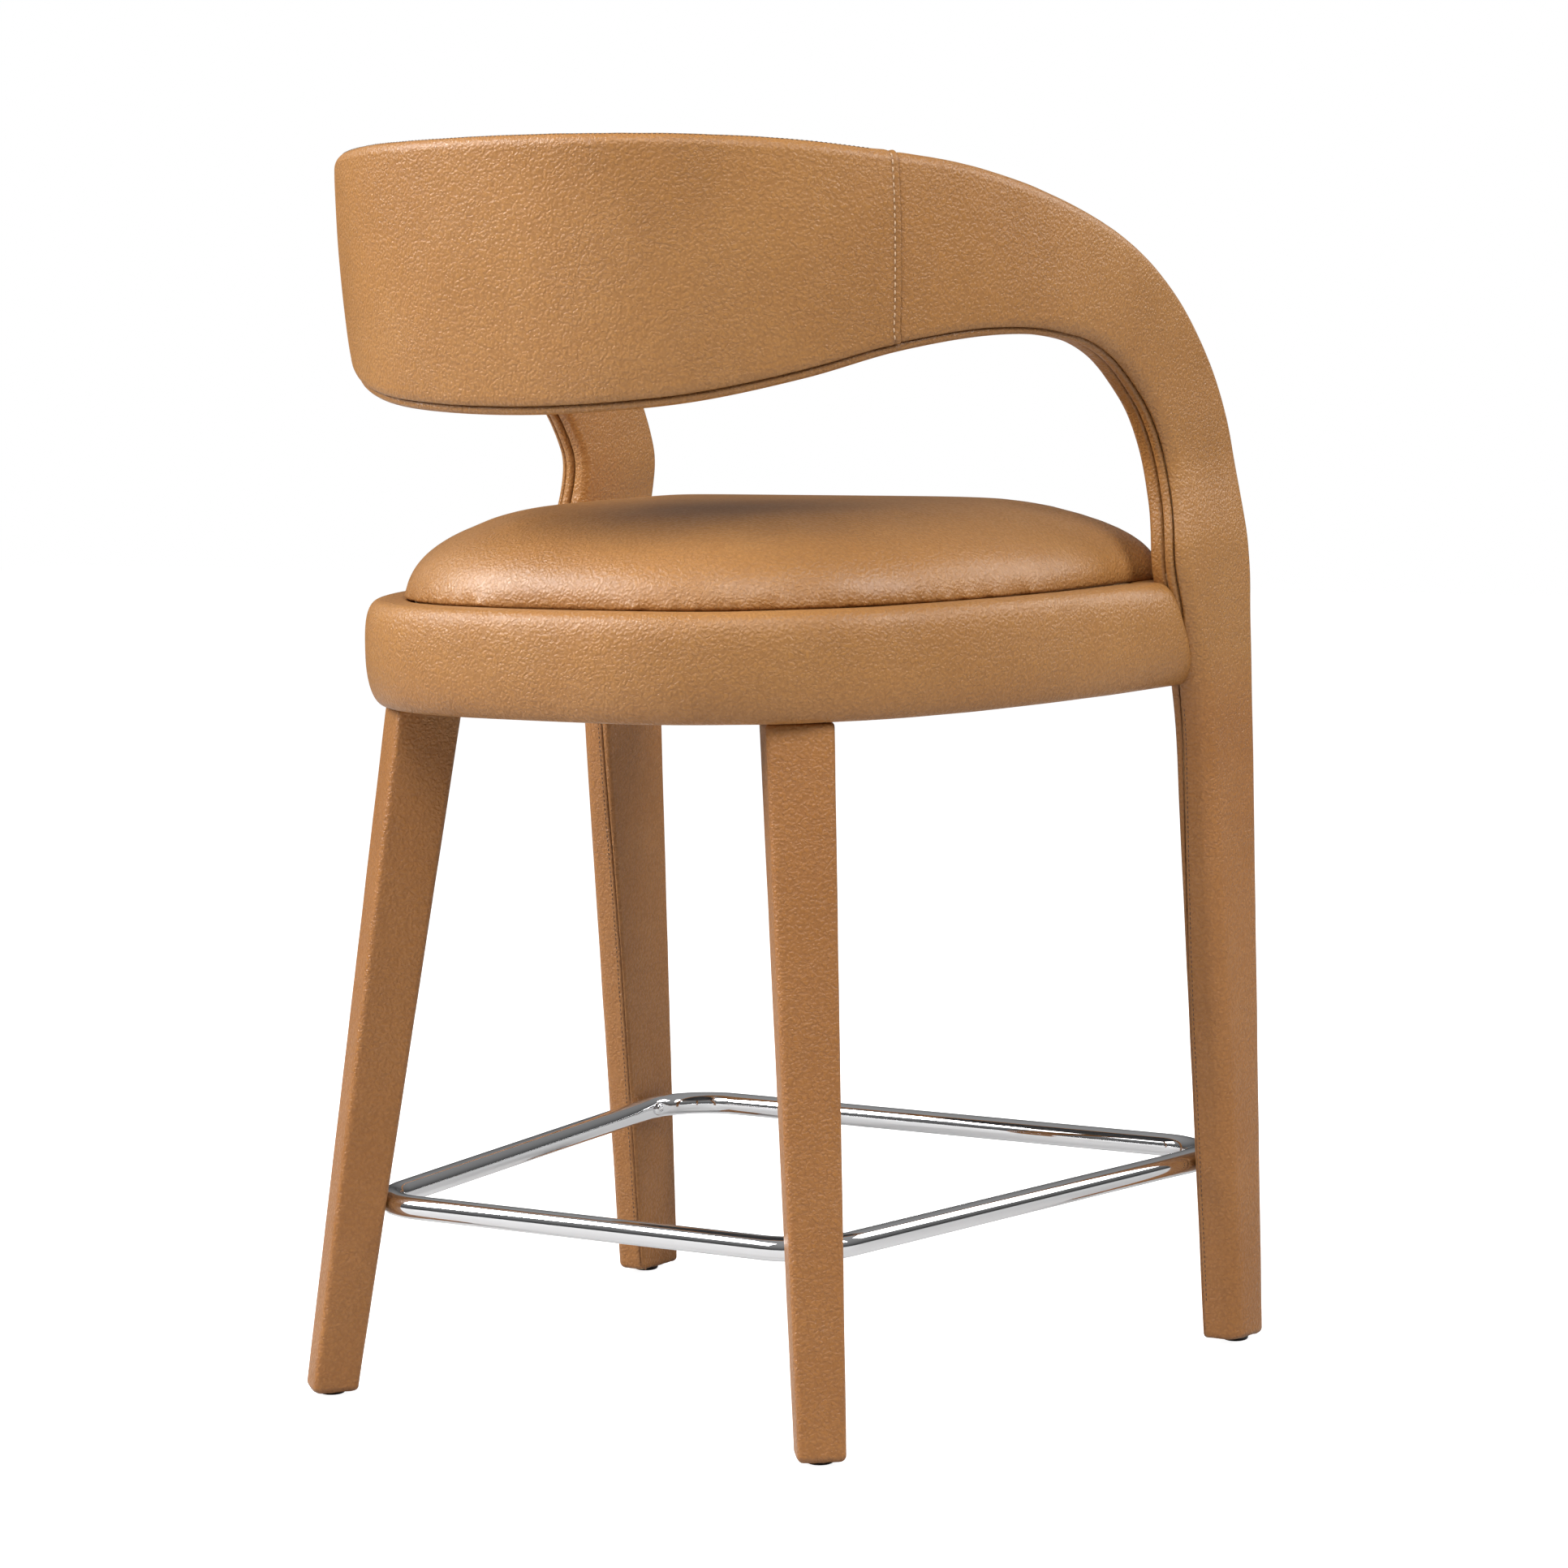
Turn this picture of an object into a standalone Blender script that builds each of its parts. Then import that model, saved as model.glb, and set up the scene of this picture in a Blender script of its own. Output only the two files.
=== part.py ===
"""Counter-height bar stool with a wrap-round back, arms that run down into the front legs,
an upholstered drum seat, splayed rear legs and a tubular footrest.

Metres, +Z up. The front is -Y, the sitter's left is +X, and the origin is on the floor
under the middle of the stool. The left side is described and the right side mirrors it.
"""

import math

import bmesh
import bpy
from mathutils import Matrix, Vector

# ---------------------------------------------------------------- driving dimensions
GAP = 0.0003  # clearance left between touching pieces
LEATHER = 0.0015
SIDES = {"left": 1, "right": -1}
MIDDLE_Y = 0.0122  # middle of the stool's depth in the coordinates below; build() puts it at 0

# Wall: the back, the arms and the front legs share one upright wall, seen in plan.
WALL_HALF_WIDTH = 0.285  # to the outer face of the arms
WALL_REAR = 0.284  # outer face behind the seat, at LEAN_HEIGHT
WALL_POWER = 2.5  # squareness of the rounded back
PLAN_CENTRE = -0.142  # Y where the curved back meets the straight arms
LEAN = 0.12  # rearward recline of the back for each unit of height
LEAN_HEIGHT = 0.80
# the arms bend in and forward above the seat: how far, and the heights over which it grows
ARM_BENDS = ((0.0095, 0.592, 0.665), (0.0120, 0.592, 0.665))
BEND_FADES = (0.700, 0.840)  # heights over which both die out again
BEND_DISTANCES = (0.42, 0.56)  # distances round the plan between the back and the bent arm
WALL_THICKNESS = 0.0292
OUTER_FOAM = 0.005
CORE_THICKNESS = 0.012
INNER_FOAM = 0.0065
CORNER = 0.010  # radius of the padded edges
EDGE_STEPS = 2  # lofted rows between neighbouring outline points

# Wall outline as matched pairs of (distance round the plan from the back's centre line, height):
# a point of the top or front edge, then its partner on the lower or rear edge.
WALL_PAIRS = (
    ((0.000, 0.892), (0.000, 0.705)),
    ((0.130, 0.890), (0.130, 0.712)),
    ((0.215, 0.885), (0.215, 0.727)),
    ((0.2925, 0.8761), (0.287, 0.7434)),
    ((0.345, 0.8688), (0.345, 0.751)),
    ((0.412, 0.8538), (0.402, 0.753)),
    ((0.470, 0.8362), (0.440, 0.750)),
    ((0.511, 0.8210), (0.470, 0.745)),
    ((0.557, 0.7983), (0.502, 0.733)),
    ((0.6043, 0.7648), (0.538, 0.709)),
    ((0.6473, 0.7174), (0.562, 0.685)),
    ((0.6652, 0.6838), (0.576, 0.662)),
    ((0.680, 0.636), (0.585, 0.630)),
    ((0.690, 0.578), (0.588, 0.578)),
)
SEAM_ROW = 3 * EDGE_STEPS  # the outer cover's upright seams follow this row of the loft
OUTER_RETURN = 0.0105  # the outer cover wraps this far round the lower edge
TOP_RETURN = 0.0115  # and this far over the top edge
STRIP_WIDTH = 0.0078  # sewn strip along the lower edge, between the two covers

# Front legs: heights, with the front and rear edges there as Y
LEG_LEVELS = (
    (0.0045, -0.2590, -0.2092),
    (0.4900, -0.2530, -0.1750),
    (0.5770, -0.2480, -0.1437),
)
LEG_OUTER_RADIUS = 0.014
LEG_INNER_RADIUS = 0.003

# Seat drum
DRUM_HALF_WIDTH = 0.270
DRUM_REAR = 0.260
DRUM_POWER = 2.75
DRUM_FRONT = -0.238
DRUM_FRONT_POWER = 7
DRUM_BOTTOM = 0.4945
DRUM_TOP = 0.570
DRUM_EDGE = 0.013  # radius of the drum's upholstered edges
FOAM_INSET = 0.0018
FOAM_WIDTH = 0.0113
FRAME_INSET = 0.0135
FRAME_WIDTH = 0.026
RETURN_INSET = 0.030  # the drum's leather ends this far in, above and below
BOARD_INSET = 0.0305
BOARD_THICKNESS = 0.012
DUST_THICKNESS = 0.001
CUSHION_INSET = 0.026
CUSHION_HEIGHT = 0.065
ARM_CLEARANCE = 0.2555  # the drum is no wider than this where it passes between the arms
PAST_ARM = -0.19  # Y beyond the arm's rear edge, where the drum's side leather is trimmed

# Rear legs
REAR_TOE = Vector((0.2113, 0.2373, 0.0045))
REAR_HEAD = Vector((0.1609, 0.1738, 0.4928))
REAR_TOE_WIDTH = 0.0308
REAR_HEAD_WIDTH = 0.0450
REAR_TURN = math.radians(50)  # plan direction that one pair of faces looks along
REAR_CORNER = 0.0035
PLATE_SIZE = 0.037
PLATE_THICKNESS = 0.0012
LEG_BOLT_DIAMETER = 0.008
LEG_BOLT_BELOW = 0.035
LEG_BOLT_ABOVE = 0.045

# Footrest: a closed ring of tube, whose straight runs would meet at these corners
RING_HEIGHT = 0.1365
RING_TUBE = 0.0172
RING_WALL = 0.0015
RING_REAR = Vector((0.1913, 0.2119))
RING_FRONT = Vector((0.2535, -0.2609))
RING_BEND = 0.048
BEND_STEPS = 5

# Fasteners
SCREW_DIAMETER = 0.006
SCREW_HEAD_DIAMETER = 0.0105
SCREW_HEAD_HEIGHT = 0.0032
SCREW_LENGTH = 0.030
SOCKET_DIAMETER = 0.004
SOCKET_DEPTH = 0.0018
INSERT_DIAMETER = 0.010
INSERT_LENGTH = 0.011
ARM_BOLT_DIAMETER = 0.006
ARM_BOLT_LENGTH = 0.058
ARM_BOLT_HEAD_DIAMETER = 0.012
ARM_BOLT_HEAD_HEIGHT = 0.004
ARM_BOLT_Y = -0.184
ARM_BOLT_HEIGHTS = {"lower": 0.511, "upper": 0.542}
DOWEL_DIAMETER = 0.008
DOWEL_LENGTH = 0.052
DOWEL_PLACES = {"front": -0.222, "rear": -0.171}
DOWEL_DEPTH = 0.0137  # from the arm's outer face to the middle of the core

# Glides
GLIDE_HEIGHT = 0.0042
GLIDE_DIAMETER = 0.019
NAIL_DIAMETER = 0.0024
NAIL_LENGTH = 0.016

PLAN_STEPS = 9  # points round each quarter of the drum
TURNS = 12  # sides of small round pieces
SMALL_TURNS = 8

MATERIALS = {
    "leather": ((0.434, 0.222, 0.092), 0.45, 0.0),
    "foam": ((0.80, 0.76, 0.60), 0.95, 0.0),
    "wood": ((0.55, 0.38, 0.21), 0.65, 0.0),
    "steel": ((0.55, 0.55, 0.54), 0.35, 1.0),
    "chrome": ((0.80, 0.80, 0.80), 0.08, 1.0),
    "plastic": ((0.030, 0.022, 0.018), 0.55, 0.0),
    "dust_cloth": ((0.025, 0.025, 0.025), 0.95, 0.0),
}


# ---------------------------------------------------------------- scene helpers
def clear_scene():
    for obj in list(bpy.data.objects):
        bpy.data.objects.remove(obj, do_unlink=True)


def new_collection(name):
    collection = bpy.data.collections.new(name)
    bpy.context.scene.collection.children.link(collection)
    return collection


def make_material(name):
    colour, roughness, metallic = MATERIALS[name]
    material = bpy.data.materials.new(name)
    material.use_nodes = True
    shader = material.node_tree.nodes["Principled BSDF"]
    shader.inputs["Base Color"].default_value = (*colour, 1)
    shader.inputs["Roughness"].default_value = roughness
    shader.inputs["Metallic"].default_value = metallic
    material.diffuse_color = (*colour, 1)
    return material


def add_object(name, mesh, material):
    obj = bpy.data.objects.new(name, mesh)
    PARTS.objects.link(obj)
    mesh.materials.append(FINISH[material])
    return obj


def add_cutter(name, mesh):
    cutter = bpy.data.objects.new(name, mesh)
    CUTTERS.objects.link(cutter)
    cutter.hide_render = True
    cutter.display_type = "WIRE"
    return cutter


def mesh_from(bm, name):
    bmesh.ops.recalc_face_normals(bm, faces=bm.faces)
    mesh = bpy.data.meshes.new(name)
    bm.to_mesh(mesh)
    bm.free()
    return mesh


def smooth(obj, degrees=35):
    obj.data.shade_smooth()
    obj.data.set_sharp_from_angle(angle=math.radians(degrees))
    return obj


def cut(obj, *cutters):
    for cutter in cutters:
        modifier = obj.modifiers.new("cut_" + cutter.name, "BOOLEAN")
        modifier.operation = "DIFFERENCE"
        modifier.object = cutter


def mirror_across_centre(obj):
    modifier = obj.modifiers.new("other_half", "MIRROR")
    modifier.merge_threshold = 0.0001


def thicken(obj, thickness):
    modifier = obj.modifiers.new("thickness", "SOLIDIFY")
    modifier.thickness = thickness
    modifier.offset = -1
    modifier.use_even_offset = True


def mirrored(point, side):
    return Vector((point[0] * side, point[1], point[2]))


def placed(obj, origin, direction=(0, 0, 1)):
    """Moves the object's own origin to a point and turns its +Z along a direction."""
    obj.location = origin
    obj.rotation_euler = Vector(direction).to_track_quat("Z", "Y").to_euler()
    return obj


def cone_mesh(name, near, far, length, sides=TURNS):
    """A round bar or cone from z = 0 up, with the diameters of its two ends."""
    bm = bmesh.new()
    bmesh.ops.create_cone(
        bm, cap_ends=True, segments=sides, radius1=near / 2, radius2=far / 2, depth=length
    )
    bmesh.ops.translate(bm, verts=bm.verts, vec=(0, 0, length / 2))
    return mesh_from(bm, name)


def loft(name, rows, closed=False, capped=False, looped=False):
    """A skin through rows of points.

    closed joins each row's ends, capped fills the first and last rows, and looped joins the
    last row to the first. A sheet's faces look to the left of its rows' direction.
    """
    bm = bmesh.new()
    grid = [[bm.verts.new(point) for point in row] for row in rows]
    width = len(rows[0])
    following_rows = grid[1:] + grid[:1] if looped else grid[1:]
    for near, far in zip(grid, following_rows):
        for k in range(width if closed else width - 1):
            following = (k + 1) % width
            bm.faces.new((near[k], near[following], far[following], far[k]))
    if capped:
        bm.faces.new(grid[0])
        bm.faces.new(grid[-1])
    if capped or looped:
        bmesh.ops.recalc_face_normals(bm, faces=bm.faces)
    mesh = bpy.data.meshes.new(name)
    bm.to_mesh(mesh)
    bm.free()
    return mesh


def rounded_polygon(corners, radii, steps=2):
    """Plan outline through corners, each rounded by its own radius."""
    points = []
    count = len(corners)
    for k, corner in enumerate(corners):
        to_last = (corners[k - 1] - corner).normalized()
        to_next = (corners[(k + 1) % count] - corner).normalized()
        half = to_last.angle(to_next) / 2
        reach = radii[k] / math.tan(half)
        middle = corner + (to_last + to_next).normalized() * radii[k] / math.sin(half)
        start = corner + to_last * reach - middle
        stop = corner + to_next * reach - middle
        sweep = start.angle_signed(stop)
        for step in range(steps + 1):
            turn = Matrix.Rotation(-sweep * step / steps, 2)
            points.append(middle + turn @ start)
    return points


# ---------------------------------------------------------------- plan curves
def rounded_plan(half_width, end, power, angle):
    """A rounded end of a plan; the angle runs from 0 at the centre line to pi/2 at the side."""
    x = half_width * math.sin(angle) ** (2 / power)
    y = PLAN_CENTRE + (end - PLAN_CENTRE) * max(math.cos(angle), 0) ** (2 / power)
    return Vector((x, y))


def wall_plan(angle):
    return rounded_plan(WALL_HALF_WIDTH, WALL_REAR, WALL_POWER, angle)


def wall_stations(steps=600):
    """Distances round the wall's plan, each with its plan angle."""
    table = [(0.0, 0.0)]
    for k in range(1, steps + 1):
        angle = math.pi / 2 * k / steps
        step = (wall_plan(angle) - wall_plan(table[-1][1])).length
        table.append((table[-1][0] + step, angle))
    return table


STATIONS = wall_stations()
CURVED_LENGTH = STATIONS[-1][0]


def station_angle(distance):
    for (low, low_angle), (high, high_angle) in zip(STATIONS, STATIONS[1:]):
        if distance <= high:
            return low_angle + (distance - low) / (high - low) * (high_angle - low_angle)
    return math.pi / 2


def wall_base(distance):
    """Plan point and outward normal of the wall's outer face at LEAN_HEIGHT."""
    if distance >= CURVED_LENGTH - 1e-4:
        return Vector((WALL_HALF_WIDTH, PLAN_CENTRE + CURVED_LENGTH - distance)), Vector((1, 0))
    if distance <= 0:
        return wall_plan(0), Vector((0, 1))
    angle = station_angle(distance)
    step = min(angle, math.pi / 2 - angle) / 4
    along = wall_plan(angle + step) - wall_plan(angle - step)
    return wall_plan(angle), Vector((-along.y, along.x)).normalized()


def eased(value, low, high):
    """0 below low, 1 above high, and smooth between them."""
    share = min(max((value - low) / (high - low), 0), 1)
    return share * share * (3 - 2 * share)


def arm_bend(distance, height):
    """How far an arm is bent in, and how far forward."""
    share = (1 - eased(height, *BEND_FADES)) * eased(distance, *BEND_DISTANCES)
    return [reach * share * eased(height, low, high) for reach, low, high in ARM_BENDS]


def wall_point(distance, height, depth):
    """A point of the wall, depth inside its outer face."""
    base, normal = wall_base(distance)
    behind = max(base.y - PLAN_CENTRE, 0) / (WALL_REAR - PLAN_CENTRE)
    plan = base - normal * depth
    inward, forward = arm_bend(distance, height)
    y = plan.y + LEAN * (height - LEAN_HEIGHT) * behind - forward
    return Vector((plan.x - inward, y, height))


def smooth_curve(points):
    """A Catmull-Rom curve through points, level where it starts on the centre line."""
    ends = [Vector((-points[1].x, points[1].y)), *points, 2 * points[-1] - points[-2]]
    result = []
    for before, start, stop, after in zip(ends, ends[1:], ends[2:], ends[3:]):
        for k in range(EDGE_STEPS):
            t = k / EDGE_STEPS
            rise = (stop - before) * t
            bend = (2 * before - 5 * start + 4 * stop - after) * t * t
            twist = (3 * start - before - 3 * stop + after) * t * t * t
            result.append((2 * start + rise + bend + twist) / 2)
    return [*result, points[-1]]


def edge_frames():
    """For each row of the wall, both edge points with the outward direction in the wall."""
    lines = [smooth_curve([Vector(pair[edge]) for pair in WALL_PAIRS]) for edge in (0, 1)]
    rows = []
    last = len(lines[0]) - 1
    for k in range(last + 1):
        frame = []
        for line, sense in zip(lines, (1, -1)):
            along = line[min(k + 1, last)] - line[max(k - 1, 0)]
            if k == 0:
                along = Vector((1, 0))
            if k == last:
                along = Vector((0, -1))
            frame.append((line[k], Vector((-along.y, along.x)).normalized() * sense))
        rows.append(frame)
    return rows


FRAMES = edge_frames()


def wall_skin(name, profile, first=0, last=None):
    """Lofts a profile along the wall. Each profile point is (edge, distance inside it, depth).

    A piece that starts at a seam leaves a gap there.
    """
    rows = []
    seam_gap = 3 * GAP if first else 0
    for frame in FRAMES[first:last]:
        row = []
        for edge, inset, depth in profile:
            spot = frame[edge][0] - frame[edge][1] * inset
            row.append(wall_point(spot.x + seam_gap, spot.y, depth))
        seam_gap = 0
        rows.append(row)
    return loft(name, rows)


# ---------------------------------------------------------------- back and arms
def add_wall_piece(name, profile, thickness, material, first=0, last=None, side=0):
    """A layer of the wall; side 0 spans both halves, 1 and -1 make one half only."""
    mesh = wall_skin(name, profile, first, last)
    if side < 0:
        mesh.transform(Matrix.Diagonal((-1, 1, 1, 1)))
        mesh.flip_normals()
    obj = add_object(name, mesh, material)
    if side == 0:
        mirror_across_centre(obj)
    thicken(obj, thickness)
    return smooth(obj)


def flat_layer(depth, inset):
    return ((1, inset, depth), (0, inset, depth))


def outer_cover_profile():
    shoulder = CORNER * (1 - math.sqrt(0.5))
    return (
        (1, 0, OUTER_RETURN),
        (1, 0, CORNER),
        (1, shoulder, shoulder),
        (1, CORNER, 0),
        (0, CORNER, 0),
        (0, shoulder, shoulder),
        (0, 0, CORNER),
        (0, 0, TOP_RETURN),
    )


def inner_cover_profile():
    shoulder = CORNER * (1 - math.sqrt(0.5))
    back = WALL_THICKNESS
    return (
        (0, 0, TOP_RETURN + GAP),
        (0, 0, back - CORNER),
        (0, shoulder, back - shoulder),
        (0, CORNER, back),
        (1, CORNER, back),
        (1, shoulder, back - shoulder),
        (1, 0, back - CORNER),
        (1, 0, OUTER_RETURN + STRIP_WIDTH + 2 * GAP),
    )


def lower_strip_profile():
    start = OUTER_RETURN + GAP
    return ((1, 0, start + STRIP_WIDTH), (1, 0, start))


def back_and_arms():
    clearance = 2 * GAP
    outer_foam_depth = LEATHER + clearance
    core_depth = outer_foam_depth + OUTER_FOAM + clearance
    inner_foam_depth = core_depth + CORE_THICKNESS + clearance
    core_inset = 2 * (LEATHER + GAP)
    foam_inset = CORNER + 3 * GAP
    shell = add_wall_piece(
        "back_shell", flat_layer(core_depth, core_inset), CORE_THICKNESS, "wood"
    )
    add_wall_piece(
        "back_foam_outer", flat_layer(outer_foam_depth, foam_inset), OUTER_FOAM, "foam"
    )
    add_wall_piece(
        "back_foam_inner", flat_layer(inner_foam_depth, foam_inset), INNER_FOAM, "foam"
    )
    outer = outer_cover_profile()
    add_wall_piece("back_cover_center", outer, LEATHER, "leather", last=SEAM_ROW + 1)
    for name, side in SIDES.items():
        add_wall_piece("back_cover_" + name, outer, LEATHER, "leather", SEAM_ROW, None, side)
    add_wall_piece("back_cover_inner", inner_cover_profile(), LEATHER, "leather")
    add_wall_piece("lower_edge_strip", lower_strip_profile(), LEATHER, "leather")
    return shell


# ---------------------------------------------------------------- front legs
def leg_section(front, rear, height, inset):
    inner_x = WALL_HALF_WIDTH - WALL_THICKNESS + inset
    outer_x = WALL_HALF_WIDTH - inset
    corners = (
        Vector((inner_x, front + inset)),
        Vector((outer_x, front + inset)),
        Vector((outer_x, rear - inset)),
        Vector((inner_x, rear - inset)),
    )
    radii = [LEG_OUTER_RADIUS - inset if k in (1, 2) else LEG_INNER_RADIUS for k in range(4)]
    outline = rounded_polygon(corners, radii)
    return [Vector((point.x, point.y, height)) for point in outline]


def half_mesh(name, rows, side, capped):
    mesh = loft(name, rows, closed=True, capped=capped)
    if side < 0:
        mesh.transform(Matrix.Diagonal((-1, 1, 1, 1)))
        mesh.flip_normals()
    return mesh


def front_leg(name, side):
    core_inset = LEATHER + GAP
    core_rows = [leg_section(front, rear, z, core_inset) for z, front, rear in LEG_LEVELS]
    post = add_object(
        "front_leg_post_" + name, half_mesh("post", core_rows, side, True), "wood"
    )
    skin_rows = [leg_section(front, rear, z, 0) for z, front, rear in LEG_LEVELS]
    sleeve = add_object(
        "front_leg_sleeve_" + name, half_mesh("sleeve", skin_rows, side, False), "leather"
    )
    thicken(sleeve, LEATHER)
    smooth(post)
    smooth(sleeve)
    return post, sleeve


def front_toe(side):
    height, front, rear = LEG_LEVELS[0]
    middle_x = WALL_HALF_WIDTH - WALL_THICKNESS / 2
    return mirrored((middle_x, (front + rear) / 2, height), side)


def arm_joint(name, side, post, shell):
    """Two dowels join the shell's arm to the top of the leg post."""
    for place, y in DOWEL_PLACES.items():
        bottom = LEG_LEVELS[-1][0] - DOWEL_LENGTH / 2
        start = mirrored((WALL_HALF_WIDTH - DOWEL_DEPTH, y, bottom), side)
        label = name + "_" + place
        dowel = cone_mesh("dowel", DOWEL_DIAMETER, DOWEL_DIAMETER, DOWEL_LENGTH)
        placed(smooth(add_object("post_dowel_" + label, dowel, "wood")), start)
        width = DOWEL_DIAMETER + 2 * GAP
        hole = cone_mesh("dowel_hole", width, width, DOWEL_LENGTH + 2 * GAP)
        cutter = placed(add_cutter("dowel_hole_" + label, hole), start - Vector((0, 0, GAP)))
        cut(post, cutter)
        cut(shell, cutter)


# ---------------------------------------------------------------- seat drum
def rear_plan(angle, inset):
    """The drum's rounded rear, from 0 at its centre to pi/2 at the side."""
    return rounded_plan(DRUM_HALF_WIDTH - inset, DRUM_REAR - inset, DRUM_POWER, angle)


def front_plan(angle, inset, half_width=ARM_CLEARANCE - GAP):
    """The drum's front between the arms, from 0 at its centre to pi/2 at the side."""
    point = rounded_plan(half_width - inset, DRUM_FRONT + inset, DRUM_FRONT_POWER, angle)
    point.y -= GAP
    return point


def drum_outline(inset, half_width=ARM_CLEARANCE - GAP, steps=PLAN_STEPS):
    """The whole plan outline, anticlockwise from the front centre."""
    angles = [math.pi / 2 * k / steps for k in range(steps + 1)]
    half = [front_plan(angle, inset, half_width) for angle in angles]
    half += [rear_plan(angle, inset) for angle in reversed(angles)]
    other = [Vector((-point.x, point.y)) for point in half[-2:0:-1]]
    return half + other


def at_height(outline, height):
    return [Vector((point.x, point.y, height)) for point in outline]


def plate(name, inset, bottom, top, material):
    """A flat piece with the drum's plan."""
    outline = drum_outline(inset)
    rows = [at_height(outline, bottom), at_height(outline, top)]
    return smooth(add_object(name, loft(name, rows, closed=True, capped=True), material))


def arm_envelope(name, side):
    """Everything outside the inner face of an arm and ahead of its rear edge."""
    far = 0.05
    levels = [(z, rear + GAP) for z, _, rear in LEG_LEVELS[1:]]
    slope = (levels[1][1] - levels[0][1]) / (levels[1][0] - levels[0][0])
    heights = (DRUM_BOTTOM - far, DRUM_TOP + far)
    rows = []
    for height in heights:
        rear = levels[0][1] + slope * (height - levels[0][0])
        front = DRUM_FRONT - far
        outer = DRUM_HALF_WIDTH + far
        plan = [(ARM_CLEARANCE, front), (outer, front), (outer, rear), (ARM_CLEARANCE, rear)]
        rows.append([Vector((x, y, height)) for x, y in plan])
    return add_cutter("arm_envelope_" + name, half_mesh("envelope", rows, side, True))


def front_zone():
    """The part of the drum's plan that lies between the arms."""
    far = 0.1
    mesh = bpy.data.meshes.new("front_zone")
    bm = bmesh.new()
    bmesh.ops.create_cube(bm, size=1)
    depth = PLAN_CENTRE - GAP - (DRUM_FRONT - far)
    bmesh.ops.scale(bm, verts=bm.verts, vec=(2 * ARM_CLEARANCE + 2 * GAP, depth, 2 * far))
    bm.to_mesh(mesh)
    bm.free()
    cutter = add_cutter("front_zone", mesh)
    cutter.location = (0, PLAN_CENTRE - GAP - depth / 2, (DRUM_BOTTOM + DRUM_TOP) / 2)
    return cutter


def drum_cover_profile():
    """(inset, height) from the leather's lower return, round the side, to its upper return."""
    shoulder = DRUM_EDGE * (1 - math.sqrt(0.5))
    return (
        (RETURN_INSET, DRUM_BOTTOM),
        (DRUM_EDGE, DRUM_BOTTOM),
        (shoulder, DRUM_BOTTOM + shoulder),
        (0, DRUM_BOTTOM + DRUM_EDGE),
        (0, DRUM_TOP - DRUM_EDGE),
        (shoulder, DRUM_TOP - shoulder),
        (DRUM_EDGE, DRUM_TOP),
        (RETURN_INSET, DRUM_TOP),
    )


def drum_foam_profile():
    low = DRUM_BOTTOM + DRUM_EDGE
    high = DRUM_TOP - DRUM_EDGE
    return ((FOAM_INSET, low), (FOAM_INSET, high))


def rear_rows(profile, steps=PLAN_STEPS):
    """Drum rows from the rear centre round to the side and on past the arm's rear edge."""
    rows = []
    for k in range(steps + 1):
        points = [(rear_plan(math.pi / 2 * k / steps, inset), z) for inset, z in profile]
        rows.append([Vector((point.x, point.y, z)) for point, z in points])
    rows.append([Vector((DRUM_HALF_WIDTH - inset, PAST_ARM, z)) for inset, z in profile])
    return rows


def front_rows(profile, steps=PLAN_STEPS):
    """Drum rows from the side, between the arms, to the front centre."""
    rows = []
    for k in range(steps, -1, -1):
        points = [(front_plan(math.pi / 2 * k / steps, inset), z) for inset, z in profile]
        rows.append([Vector((point.x, point.y - GAP, z)) for point, z in points])
    return rows


def add_drum_skin(name, rows, thickness, material, cutters=()):
    obj = add_object(name, loft(name, rows), material)
    mirror_across_centre(obj)
    thicken(obj, thickness)
    cut(obj, *cutters)
    return smooth(obj)


def cushion_rows(inset, height, rings=5):
    """Rings that dome from the cushion's edge up to its crown."""
    outline = drum_outline(CUSHION_INSET + inset, DRUM_HALF_WIDTH)
    rear = DRUM_REAR - CUSHION_INSET
    front = DRUM_FRONT + CUSHION_INSET
    middle = Vector((0, (rear + front) / 2))
    base = DRUM_TOP + 2 * GAP
    rows = [at_height(outline, base)]
    for k in range(1, rings + 1):
        share = (k / (rings + 0.5)) ** 2.2
        rise = height * (1 - (1 - share) ** 2.9) ** (1 / 2.4)
        ring = [middle + (point - middle) * (1 - share) for point in outline]
        rows.append(at_height(ring, base + rise))
    return rows


def cushion():
    slack = LEATHER + 3 * GAP
    foam_rows = cushion_rows(slack, CUSHION_HEIGHT - slack)
    foam = loft("cushion_foam", foam_rows, closed=True, capped=True)
    smooth(add_object("cushion_foam", foam, "foam"), 60)
    bm = bmesh.new()
    bm.from_mesh(loft("cushion_cover", cushion_rows(0, CUSHION_HEIGHT), closed=True))
    top = max(vertex.co.z for vertex in bm.verts)
    rim = [edge for edge in bm.edges if edge.is_boundary and edge.verts[0].co.z > top - GAP]
    bmesh.ops.contextual_create(bm, geom=rim)
    cover = add_object("cushion_cover", mesh_from(bm, "cushion_cover"), "leather")
    thicken(cover, LEATHER)
    smooth(cover, 60)


def frame_rows():
    bottom = DRUM_BOTTOM + LEATHER + GAP
    top = DRUM_TOP - BOARD_THICKNESS - GAP
    outer = drum_outline(FRAME_INSET)
    inner = drum_outline(FRAME_INSET + FRAME_WIDTH)
    rows = []
    for far, near in zip(outer, inner):
        section = ((far, bottom), (far, top), (near, top), (near, bottom))
        rows.append([Vector((point.x, point.y, z)) for point, z in section])
    return rows


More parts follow.
